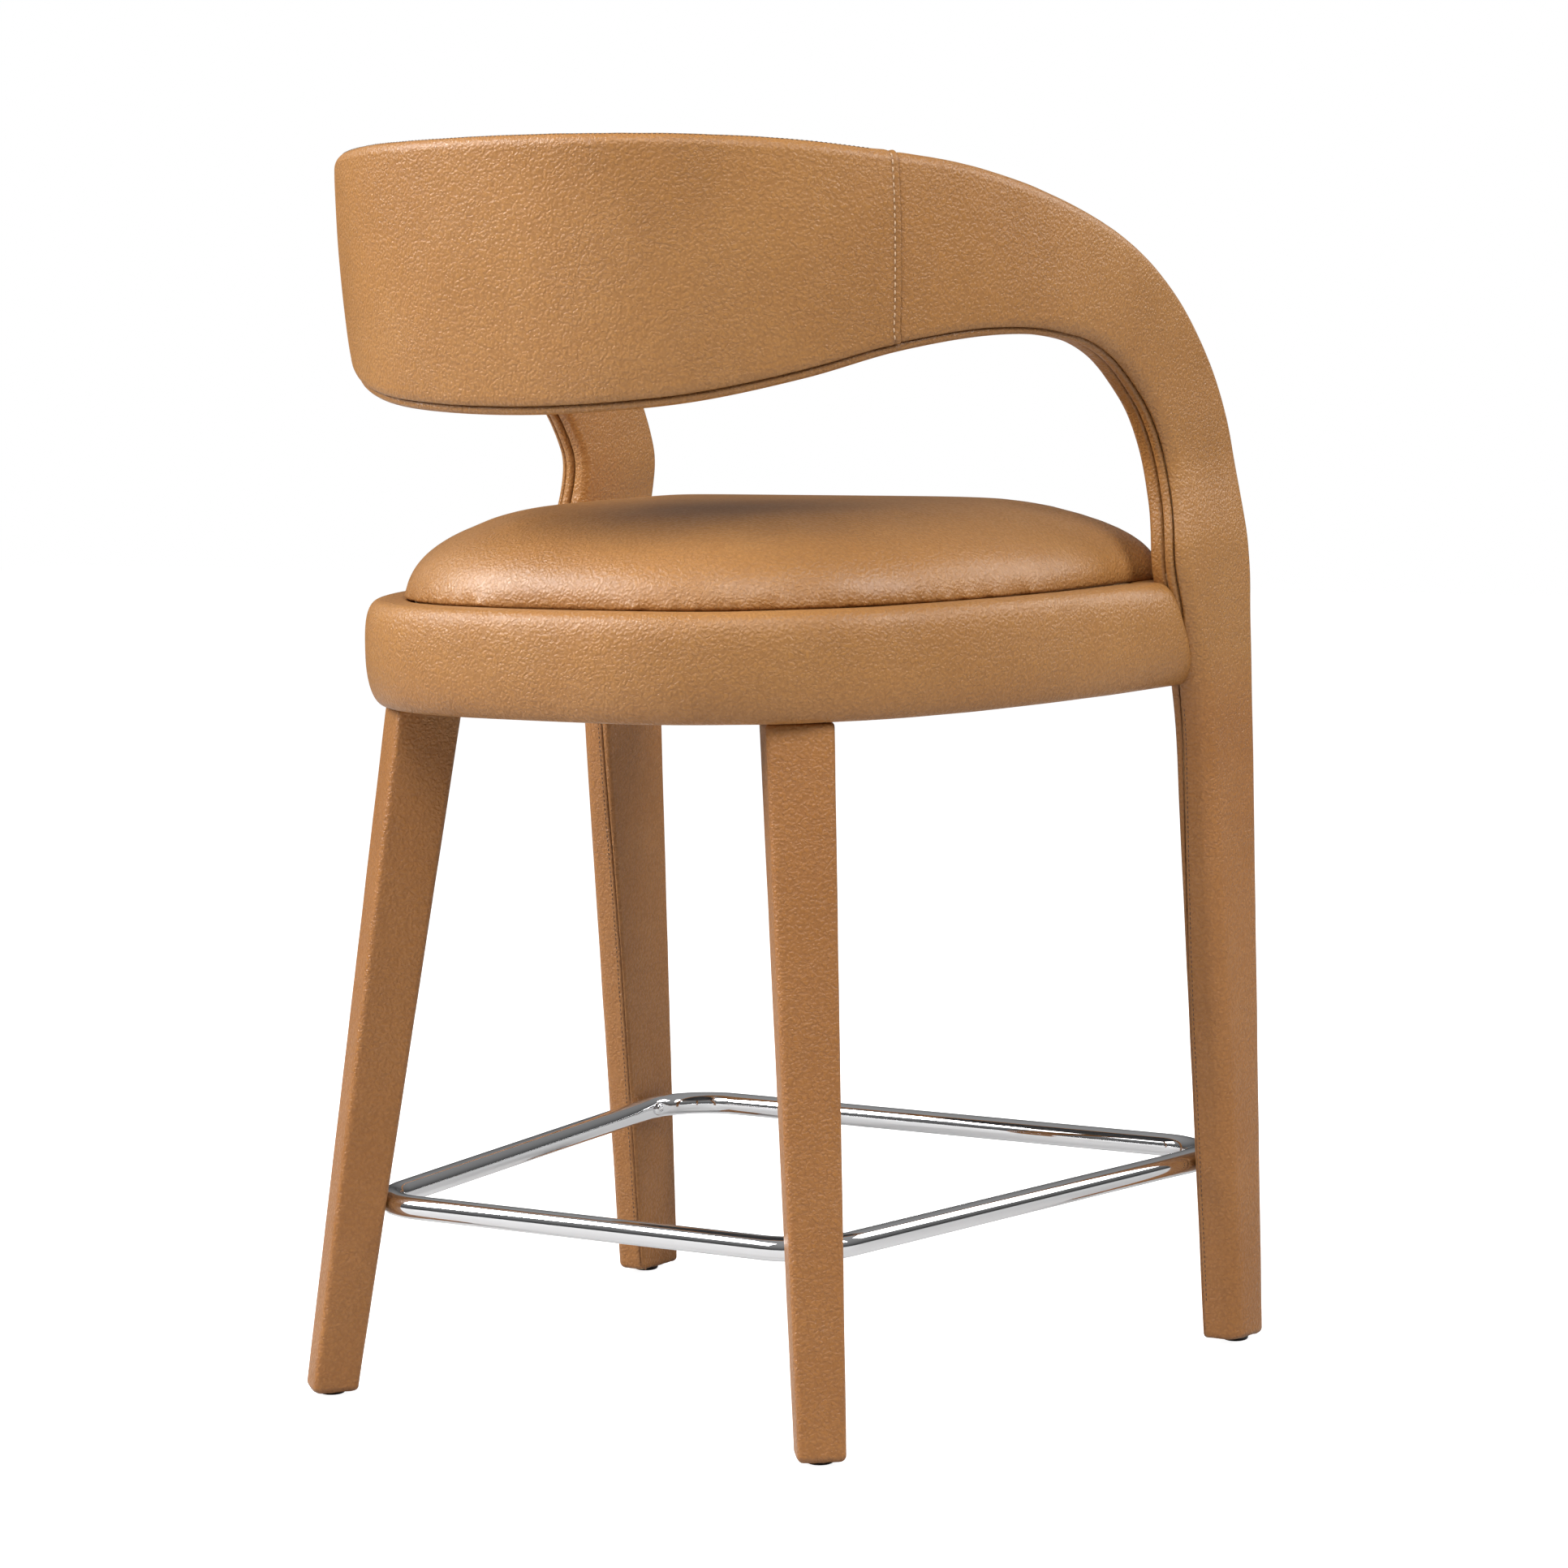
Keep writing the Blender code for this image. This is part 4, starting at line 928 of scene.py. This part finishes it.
def footrest():
    """The tube ring, pressed slightly flat where the screws clamp it to the legs."""
    points, outward = ring_path()
    nearest = np.full(len(points), FAR)
    for place, _ in contacts():
        for mirror in (1, -1):
            nearest = np.minimum(nearest, np.linalg.norm(points - place * (mirror, 1), axis=1))
    flat = np.exp(-((nearest / FLAT_REACH) ** 4))
    turns = np.linspace(0, 2 * math.pi, TUBE_SIDES, endpoint=False)
    across = RING_RADIUS * np.cos(turns)[None] * np.ones_like(flat)[:, None]
    inside = blend(RING_RADIUS, FLAT_INSIDE, flat)[:, None]
    outside = blend(RING_RADIUS, FLAT_OUTSIDE, flat)[:, None]
    across = np.clip(across, -inside, outside)
    upright = RING_RADIUS * np.sin(turns)[None] * (1 + FLAT_BULGE * flat[:, None])
    grid = np.empty((len(points), len(turns), 3))
    grid[..., :2] = points[:, None] + outward[:, None] * across[..., None]
    grid[..., 2] = RING_HEIGHT + upright
    grid[..., 1] -= MIDDLE_Y
    return sheet_from("footrest", grid, closed=True, looped=True)


def revolved(name, profile_points, hexagon=()):
    """A closed turned piece about local Z; rings named in hexagon follow a hex key's outline."""
    verts = []
    for k, (radius, height) in enumerate(profile_points):
        for j in range(TURNED_SIDES):
            a = 2 * math.pi * j / TURNED_SIDES
            r = radius
            if k in hexagon:
                r = radius / math.cos((a + math.pi / 6) % (math.pi / 3) - math.pi / 6)
            verts.append((r * math.cos(a), r * math.sin(a), height))
    return smooth_mesh(name, verts, tube_faces(len(profile_points), TURNED_SIDES))


# (radius, height above the seat) of a button head, with the walls of its hex socket last
SCREW_PROFILE = (
    ((0.00225, -0.0040), (0.0050, -0.0002), (0.00525, 0.0001), (0.00525, 0.0006))
    + ((0.00510, 0.0010), (0.00465, 0.0017), (0.0040, 0.0023), (0.0033, 0.00272))
    + ((0.0027, 0.00292), (0.00245, 0.00296), (0.0021, 0.00292), (0.00196, 0.0027))
    + ((0.0019, 0.0014), (0.0012, 0.0010), (0.0004, 0.0008))
)
SOCKET_RINGS = (9, 10, 11, 12, 13)
GLIDE_PROFILE = (
    ((0.0022, 0.0008), (0.0026, 0.0001), (0.0030, 0.0), (0.0078, 0.0), (0.0087, 0.0004))
    + ((0.0093, 0.0011), (0.0095, 0.0018), (0.0095, 0.0027), (0.0093, 0.0033), (0.0088, 0.0038))
    + ((0.0080, 0.0040), (0.0030, 0.00405))
)


# ---- stitches
# rings along a stitch: place along it, thickness, and height in radii
STITCH_RINGS = (
    ((-0.5, 0.35, -1.3), (-0.44, 0.8, -0.75), (-0.25, 1, -0.1), (0, 1, 0.12))
    + ((0.25, 1, -0.1), (0.44, 0.8, -0.75), (0.5, 0.35, -1.3))
)
STITCH_SIDES = 7
STITCH_WANDER = 0.14  # how far stitches lie off their line, to either side by turns, in radii
# pitch, length and radius of the stitches, and where a row starts
UPRIGHT_THREAD = (0.0051, 0.0034, 0.00055, 0.004)
TOP_THREAD = (0.0034, 0.0026, 0.00036)
LEG_THREAD = (0.0036, 0.0026, 0.00034)


def stitches(name, path, outward, pitch, length, radius, lead=0.0):
    """Separate thread stitches along a path, each dipping into the leather at its ends."""
    places = lengths_along(path)
    count = max(int((places[-1] - 2 * lead) / pitch), 1)
    verts, faces = [], []
    for k in range(count):
        at = lead + (k + 0.5) * pitch
        ahead, behind = (read_line(at + side * length / 2, places, path) for side in (1, -1))
        along = ahead - behind
        along /= max(np.linalg.norm(along), 1e-9)
        up = read_line(at, places, outward)
        up -= along * float(up @ along)
        up /= np.linalg.norm(up)
        beside = np.cross(along, up)
        aside = STITCH_WANDER if k % 2 else -STITCH_WANDER
        centre = read_line(at, places, path) + beside * radius * aside
        start = len(verts)
        for where, size, rise in STITCH_RINGS:
            middle = centre + along * where * length + up * rise * radius
            for j in range(STITCH_SIDES):
                a = 2 * math.pi * j / STITCH_SIDES
                verts.append(middle + (up * math.cos(a) + beside * math.sin(a)) * radius * size)
        faces += tube_faces(len(STITCH_RINGS), STITCH_SIDES, start)
    return smooth_mesh(name, verts, faces)


# ---- materials
def opaque(colour):
    return (*colour, 1.0) if isinstance(colour, tuple) else colour


class Nodes:
    """A node tree, with short ways to add to it; an input is a value or another's output."""

    def __init__(self, tree):
        self.tree = tree

    def put(self, value, socket):
        if isinstance(value, bpy.types.NodeSocket):
            self.tree.links.new(value, socket)
        else:
            socket.default_value = value

    def add(self, kind, inputs=(), output=0, **settings):
        """Adds a node, and returns one of its outputs."""
        made = self.tree.nodes.new("ShaderNode" + kind)
        for key, value in settings.items():
            setattr(made, key, value)
        for key, value in dict(inputs).items():
            self.put(value, made.inputs[key])
        return made.outputs[output]

    def maths(self, operation, *values):
        return self.add("Math", enumerate(values), operation=operation)

    def ranged(self, value, low, high, to_low=0.0, to_high=1.0, kind="SMOOTHSTEP"):
        inputs = {"Value": value, "From Min": low, "From Max": high, "To Min": to_low, "To Max": to_high}
        return self.add("MapRange", inputs, interpolation_type=kind)

    def mixed(self, share, first, second, kind="MIX"):
        """Two colours mixed; a plain colour has three values."""
        inputs = {0: share, 6: opaque(first), 7: opaque(second)}
        return self.add("Mix", inputs, 2, data_type="RGBA", blend_type=kind)


class Surface(Nodes):
    """A material with one Principled shader, and textures in its object's coordinates."""

    def __init__(self, name, **sockets):
        self.material = bpy.data.materials.new(name)
        self.material.use_nodes = True
        super().__init__(self.material.node_tree)
        self.shader = self.tree.nodes["Principled BSDF"]
        self.set(**sockets)
        self.place = self.add("TexCoord", output="Object")

    def set(self, **sockets):
        for key, value in sockets.items():
            self.put(value, self.shader.inputs[key.replace("_", " ")])

    def noise(self, scale, detail=2.0, roughness=0.5, vector=None, output="Fac"):
        inputs = {"Vector": vector or self.place, "Scale": scale, "Detail": detail, "Roughness": roughness}
        return self.add("TexNoise", inputs, output)

    def waves(self, scale, distortion, detail, finer=1.0, vector=None):
        inputs = {"Vector": vector or self.place, "Scale": scale, "Distortion": distortion}
        inputs.update({"Detail": detail, "Detail Scale": finer})
        return self.add("TexWave", inputs, "Fac")

    def cells(self, scale, vector=None, feature="F1"):
        inputs = {"Vector": vector or self.place, "Scale": scale}
        return self.add("TexVoronoi", inputs, "Distance", feature=feature)

    def vectors(self, operation, first, second):
        return self.add("VectorMath", {0: first, 1: second}, operation=operation)

    def warped(self, scale, reach, middle):
        """The coordinates, moved about by noise of this scale."""
        moved = self.vectors("SUBTRACT", self.noise(scale, output="Color"), (middle,) * 3)
        moved = self.add("VectorMath", {0: moved, "Scale": reach}, operation="SCALE")
        return self.vectors("ADD", self.place, moved)

    def gaps(self, value, share):
        """What a value leaves of 1, times a share."""
        return self.maths("MULTIPLY", self.maths("SUBTRACT", 1.0, value), share)

    def bumped(self, height, strength, distance, **before):
        inputs = {"Height": height, "Strength": strength, "Distance": distance}
        return self.add("Bump", inputs | before)

    def finished(self, colour, rough, normal):
        self.set(Base_Color=colour, Roughness=rough, Normal=normal)
        return self.material


LEATHER_LIGHT = (0.475, 0.228, 0.068)
LEATHER_DARK = (0.395, 0.180, 0.047)
LEATHER_WARM = (0.435, 0.196, 0.050)
LEATHER_DEEP = (0.22, 0.086, 0.021)
LEATHER_SHADE = (0.075, 0.030, 0.011)
LEG_PAINTED_SHADE = (0.95, 0.86, 0.79)  # painted shade: below the seat the legs' leather is made darker and redder
LEATHER_ROUGHNESS = 0.33
COAT_ROUGHNESS = 0.33


def leather_material(name, coat, gloss):
    """Grained leather; coat is the weight of its finish, and gloss lowers its roughness."""
    hide = Surface(name, Coat_Weight=coat, Coat_Roughness=COAT_ROUGHNESS, Specular_IOR_Level=0.5)
    pebbles = hide.cells(470.0, hide.warped(170.0, 0.0035, 0.5), "SMOOTH_F1")
    pebbles = hide.ranged(pebbles, 0.70, 0.12)
    creases = hide.cells(290.0, hide.warped(48.0, 0.011, 0.0), "DISTANCE_TO_EDGE")
    patches = hide.ranged(hide.noise(16.0, 3.0), 0.42, 0.62)
    depth = hide.maths("MULTIPLY_ADD", patches, 0.75, 0.5)
    creases = hide.maths("SUBTRACT", 1.0, hide.gaps(hide.ranged(creases, 0.0, 0.10), depth))

    cloud = hide.ranged(hide.noise(6.5, 4.0, 0.55), 0.33, 0.67)
    mottle = hide.ranged(hide.noise(34.0, 5.0, 0.6), 0.30, 0.70)
    specks = hide.ranged(hide.noise(420.0, 3.0, 0.6), 0.35, 0.70)
    hollows = hide.gaps(pebbles, 0.30)
    colour = hide.mixed(cloud, LEATHER_DARK, LEATHER_LIGHT)
    colour = hide.mixed(hide.maths("MULTIPLY", mottle, 0.55), colour, LEATHER_WARM)
    for share in (hide.gaps(specks, 0.16), hollows, hide.gaps(creases, 0.14)):
        colour = hide.mixed(share, colour, LEATHER_DEEP)
    # painted shade: from a height of 0.53 down to 0.46 the leather is multiplied darker and redder, as the
    # seat shades the legs
    height = hide.add("SeparateXYZ", {0: hide.place}, 2)
    leg = hide.mixed(1.0, colour, LEG_PAINTED_SHADE, "MULTIPLY")
    colour = hide.mixed(hide.ranged(height, 0.53, 0.46), colour, leg)
    # painted shade: the seam attribute darkens the leather towards LEATHER_SHADE in seam grooves, under
    # laps and folds, and where it turns under the legs
    seam = hide.add("Attribute", output="Fac", attribute_name="seam")
    colour = hide.mixed(hide.maths("MULTIPLY", seam, 0.62), colour, LEATHER_SHADE)
    rough = hide.maths("MULTIPLY_ADD", mottle, 0.06, LEATHER_ROUGHNESS - gloss)
    rough = hide.maths("MULTIPLY_ADD", hollows, 0.5, rough)

    normal = hide.bumped(hide.noise(60.0, 3.0), 0.15, 0.0016)
    normal = hide.bumped(creases, 0.55, 0.00022, Normal=normal)
    normal = hide.bumped(pebbles, 1.0, 0.00038, Normal=normal)
    normal = hide.bumped(hide.noise(2300.0, 3.0, 0.6), 0.35, 0.00004, Normal=normal)
    return hide.finished(colour, rough, normal)


def thread_material(name, colour, dark):
    thread = Surface(name, Sheen_Weight=0.2)
    strands = thread.waves(900.0, 3.0, 2.0)
    rough = thread.ranged(strands, 0.0, 1.0, 0.62, 0.48)
    return thread.finished(thread.mixed(strands, dark, colour), rough, thread.bumped(strands, 0.5, 0.0001))


def metal_material(name, colour, tint, rough, spread, scale, bump, metallic=1.0):
    """Plated metal: faint tonal drift, and roughness that wanders between two values."""
    metal = Surface(name, Metallic=metallic)
    drift = metal.noise(scale, 4.0, 0.6)
    worn = metal.ranged(metal.noise(scale * 9, 3.0), 0.35, 0.70)
    rough = metal.ranged(worn, 0.0, 1.0, rough, rough + spread)
    return metal.finished(metal.mixed(drift, colour, tint), rough, metal.bumped(drift, bump, 0.0002))


def plastic_material():
    plastic = Surface("glide_plastic")
    scuffs = plastic.ranged(plastic.noise(260.0, 5.0, 0.7), 0.45, 0.75)
    colour = plastic.mixed(scuffs, (0.022, 0.014, 0.010), (0.060, 0.042, 0.032))
    grit = plastic.bumped(plastic.noise(1400.0, 4.0, 0.65), 0.3, 0.00012)
    return plastic.finished(colour, plastic.ranged(scuffs, 0.0, 1.0, 0.36, 0.62), grit)


def foam_material():
    foam = Surface("foam", Sheen_Weight=0.1)
    cells = foam.cells(900.0)
    tone = foam.noise(40.0, 4.0)
    colour = foam.mixed(tone, (0.72, 0.66, 0.46), (0.84, 0.80, 0.62))
    colour = foam.mixed(foam.ranged(cells, 0.5, 0.9, 0.0, 0.5), colour, (0.45, 0.39, 0.24))
    rough = foam.ranged(tone, 0.0, 1.0, 0.85, 0.97)
    return foam.finished(colour, rough, foam.bumped(cells, 0.7, 0.0004))


def wood_material():
    wood = Surface("wood")
    stretched = wood.add("Mapping", {"Vector": wood.place, "Scale": (1.0, 1.0, 0.12)})
    rings = wood.waves(70.0, 9.0, 4.0, 1.6, stretched)
    pores = wood.noise(900.0, 4.0, 0.7, stretched)
    colour = wood.mixed(rings, (0.40, 0.255, 0.130), (0.60, 0.43, 0.25))
    colour = wood.mixed(wood.ranged(pores, 0.45, 0.75, 0.0, 0.5), colour, (0.28, 0.165, 0.08))
    rough = wood.ranged(pores, 0.3, 0.7, 0.55, 0.75)
    return wood.finished(colour, rough, wood.bumped(pores, 0.4, 0.0003))


def dust_cloth_material():
    cloth = Surface("dust_cloth", Sheen_Weight=0.3)
    spots = cloth.cells(520.0)
    colour = cloth.mixed(cloth.waves(420.0, 16.0, 4.0, 3.0), (0.016, 0.016, 0.017), (0.040, 0.040, 0.042))
    rough = cloth.ranged(spots, 0.0, 0.8, 0.75, 0.95)
    return cloth.finished(colour, rough, cloth.bumped(spots, 0.6, 0.0003))


# the finishes that pieces are given, by name
FINISH = {
    "leather": leather_material("leather", 0.12, 0.0),
    "seat_leather": leather_material("seat_leather", 0.26, 0.01),
    "thread_light": thread_material("thread_light", (0.78, 0.53, 0.33), (0.55, 0.34, 0.18)),
    "thread_dark": thread_material("thread_dark", (0.10, 0.052, 0.026), (0.05, 0.026, 0.013)),
    "foam": foam_material(),
    "wood": wood_material(),
    "steel": metal_material("steel", (0.50, 0.50, 0.48), (0.60, 0.60, 0.60), 0.30, 0.16, 60.0, 0.15),
    "black_steel": metal_material(
        "black_steel", (0.020, 0.018, 0.017), (0.035, 0.032, 0.030), 0.45, 0.2, 60.0, 0.2, 0.6
    ),
    "chrome": metal_material("chrome", (0.86, 0.86, 0.87), (0.80, 0.80, 0.81), 0.025, 0.035, 14.0, 0.02),
    "plastic": plastic_material(),
    "dust_cloth": dust_cloth_material(),
}
CAD_FINISH = (
    ("foam", ("apron_foam", "back_foam", "cushion_foam")),
    ("wood", ("back_shell", "front_leg_post", "rear_leg_core", "seat_board", "seat_frame", "post_dowel")),
    ("steel", ("arm_bolt", "footrest_insert", "glide_nail", "rear_leg_bolt")),
    ("black_steel", ("rear_leg_plate",)),
    ("dust_cloth", ("dust_cover",)),
)


# ---- assembly
FOAM_SHRINK = 0.0024  # the foam that shows nowhere is kept this far under the seams' grooves
SLEEVE_THICKNESS = 0.0012
SIDES = (("left", False), ("right", True))


def piece(obj, finish, replaces=(), smooth_levels=0):
    obj.data.materials.clear()
    obj.data.materials.append(FINISH[finish])
    if smooth_levels:
        modifier = obj.modifiers.new("smooth", "SUBSURF")
        modifier.levels = modifier.render_levels = smooth_levels
        modifier.boundary_smooth = "ALL"
    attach(obj, "root")
    if replaces:
        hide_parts(*replaces)
    return obj


def leather_sheet(name, panel, replaces, inside=False, mirror=False, levels=1):
    grid, seam = panel
    if mirror:
        grid = mirror_grid(grid)
    obj = thicken(sheet_from(name, grid, flip=inside != mirror, seam=seam))
    return piece(obj, "leather", replaces, levels)


def sewn(name, path, outward, thread, finish="thread_dark", mirror=False):
    """A row of stitches along a path on a leather surface."""
    if mirror:
        path, outward = mirror_grid(path), mirror_grid(outward)
    piece(stitches(name, path, outward, *thread), finish)


centre = centre_panel()
leather_sheet("back_leather_center", centre, ["back_cover_center"])
arm = arm_panel()
leg_inner = leg_inner_panel()
for label, mirror in SIDES:
    covers = ["back_cover_" + label, "front_leg_sleeve_" + label]
    leather_sheet("arm_leather_" + label, arm, covers, mirror=mirror)
    leather_sheet("leg_inner_leather_" + label, leg_inner, ["front_leg_sleeve_" + label], True, mirror)
leather_sheet("back_inner_leather", inner_panel(), ["back_cover_inner"], inside=True)
leather_sheet("edge_strip_leather", edge_strip(), ["lower_edge_strip"], inside=True)
leather_sheet("seat_side_leather_rear", drum_rear(), ["apron_cover_rear"], inside=True)
leather_sheet("seat_side_leather_front", drum_front(), ["apron_cover_front"], inside=True)

cushion = cushion_mesh()
swell(cushion, 0.0018)
piece(cushion, "seat_leather", ["cushion_cover", "cushion_foam"], 1)

for label, mirror in SIDES:
    grid, seam = rear_leg(mirror)
    sleeve = sheet_from("rear_leg_leather_" + label, grid, flip=mirror, closed=True, seam=seam)
    piece(thicken(sleeve, SLEEVE_THICKNESS), "leather", ["rear_leg_sleeve_" + label], 1)

piece(footrest(), "chrome", ["footrest_ring"])
for end, (place, way) in zip(("rear", "front"), contacts()):
    for label, mirror in SIDES:
        sign = -1 if mirror else 1
        name = end + "_" + label
        screw = revolved("footrest_screw_head_" + name, SCREW_PROFILE, SOCKET_RINGS)
        inward = Vector((-way[0] * sign, -way[1], 0))
        seat = Vector((place[0] * sign, place[1] - MIDDLE_Y, RING_HEIGHT)) + inward * FLAT_INSIDE
        turn = inward.to_track_quat("Z", "Y").to_matrix().to_4x4()
        screw.data.transform(Matrix.Translation(seat) @ turn)
        piece(screw, "chrome", ["footrest_screw_" + name])
        glide = revolved("foot_glide_" + name, GLIDE_PROFILE)
        low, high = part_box("glide_" + name)
        glide.data.transform(Matrix.Translation(((low[0] + high[0]) / 2, (low[1] + high[1]) / 2, 0)))
        piece(glide, "plastic", ["glide_" + name])

for finish, starts in CAD_FINISH:
    for name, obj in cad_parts.items():
        if name.startswith(starts):
            obj.data.materials.clear()
            obj.data.materials.append(FINISH[finish])
            if "back_foam" in name or "apron_foam" in name:
                shrink = obj.modifiers.new("under_seams", "DISPLACE")
                shrink.mid_level = 0
                shrink.strength = -FOAM_SHRINK


# upright seams: stitched beside the folded ends of the centre panel
grid = centre[0]
path, outward = grid[5, 2:-2], grid_normals(grid)[5, 2:-2]
for label, mirror in SIDES:
    raised = path + outward * 0.0005
    sewn("upright_stitches_" + label, raised, outward, UPRIGHT_THREAD, "thread_light", not mirror)
sewn("top_edge_stitches", grid[9:-9, -6], grid_normals(grid)[9:-9, -6], TOP_THREAD)

grid = arm[0]
low_rows = np.flatnonzero(grid[:, 3, 2] < 0.486)[:-9]
path, outward = grid[low_rows, 5], grid_normals(grid)[low_rows, 5]
for label, mirror in SIDES:
    sewn("front_leg_stitches_" + label, path, outward, LEG_THREAD, mirror=mirror)
for label, mirror in SIDES:
    body = rear_leg(mirror)[0][7:-9]
    normals = grid_normals(body, -1 if mirror else 1)
    for mark, column in (("a", SEAM_COLUMN - 2), ("b", SEAM_COLUMN + 2)):
        name = "rear_leg_stitches_%s_%s" % (label, mark)
        sewn(name, body[:, column], normals[:, column], LEG_THREAD)


# ---- stage, light and camera
FLOOR_REACH = 8.0
FLOOR_LINES = 9
WORLD_STRENGTH = 0.08
GLOSS_STRENGTH = 0.22  # added in reflections: the studio is a white room
# brightness of the room from straight below (0) to straight above (1)
ROOM = ((0.0, 0.10), (0.50, 0.16), (0.56, 0.30), (0.68, 0.62), (0.85, 0.95), (1.0, 1.0))
AIM = Vector((0, 0, 0.55))
# name, place, width, height, power
LIGHTS = (
    ("softbox_left", (2.175, 1.398, 2.209), 1.5, 1.4, 98.0),
    ("softbox_behind", (-1.084, 1.859, 2.730), 1.4, 1.4, 50.0),
    ("softbox_right", (-2.468, -0.308, 2.351), 1.0, 1.0, 47.0),
    ("softbox_corner", (1.061, 2.274, 2.319), 1.4, 1.4, 26.0),
    ("softbox_front", (-1.452, -2.323, 1.952), 1.4, 1.4, 26.0),
)


def floor():
    """A seamless white sweep: the camera sees it lit from beneath."""
    edge = np.linspace(-FLOOR_REACH, FLOOR_REACH, FLOOR_LINES)
    verts = [(x, y, 0) for x in edge for y in edge]
    obj = smooth_mesh("floor", verts, grid_faces(FLOOR_LINES, FLOOR_LINES))
    sweep = Surface("floor", Roughness=0.85)
    sweep.set(Base_Color=sweep.mixed(sweep.noise(2.0, 3.0), (0.585,) * 3, (0.60,) * 3))
    lit = sweep.shader.outputs[0]
    glow = sweep.add("Emission", {"Color": (1, 1, 1, 1), "Strength": 0.95})
    seen = sweep.add("LightPath", output="Is Camera Ray")
    both = sweep.add("AddShader", {0: lit, 1: glow})
    share = sweep.add("MixShader", {0: seen, 1: lit, 2: both})
    sweep.put(share, sweep.tree.nodes["Material Output"].inputs["Surface"])
    obj.data.materials.append(sweep.material)
    for polygon in obj.data.polygons:
        if polygon.normal.z < 0:
            polygon.flip()


def studio_world():
    """A bright room that lights the stool, behind a backdrop that the camera sees as white."""
    world = bpy.data.worlds.new("studio")
    world.use_nodes = True
    world.node_tree.nodes.clear()
    room = Nodes(world.node_tree)
    direction = room.add("TexCoord", output="Generated")
    height = room.add("SeparateXYZ", {0: direction}, 2)
    ramp = room.add("ValToRGB", {0: room.ranged(height, -1.0, 1.0, kind="LINEAR")})
    elements = ramp.node.color_ramp.elements
    for element, (position, level) in zip(elements, (ROOM[0], ROOM[-1])):
        element.position, element.color = position, (level, level, level, 1)
    for position, level in ROOM[1:-1]:
        elements.new(position).color = (level, level, level, 1)
    seen = room.add("LightPath", output="Is Camera Ray")
    glossy = seen.node.outputs["Is Glossy Ray"]
    strength = room.maths("MULTIPLY_ADD", glossy, GLOSS_STRENGTH, WORLD_STRENGTH)
    dim = room.add("Background", {"Color": ramp, "Strength": strength})
    white = room.add("Background", {"Color": (1, 1, 1, 1), "Strength": 1.0})
    both = room.add("MixShader", {0: seen, 1: dim, 2: white})
    room.put(both, room.tree.nodes.new("ShaderNodeOutputWorld").inputs["Surface"])
    scene.world = world


def lights():
    for name, place, width, height, power in LIGHTS:
        data = bpy.data.lights.new(name, "AREA")
        data.shape = "RECTANGLE"
        data.size, data.size_y, data.energy = width, height, power
        obj = linked(name, data)
        obj.location = place
        obj.rotation_euler = (AIM - Vector(place)).to_track_quat("-Z", "Y").to_euler()


def camera():
    data = bpy.data.cameras.new("camera")
    data.sensor_width = 36
    data.lens = 110.769
    data.shift_x, data.shift_y = 0.004357, 0.000058
    obj = linked("camera", data)
    obj.location = (-1.98324, 2.86956, 0.785015)
    obj.rotation_euler = [math.radians(a) for a in (84.15867, 1.10516, -145.92589)]
    scene.camera = obj


floor()
studio_world()
lights()
camera()
scene.view_settings.view_transform = "Standard"
scene.view_settings.look = "None"
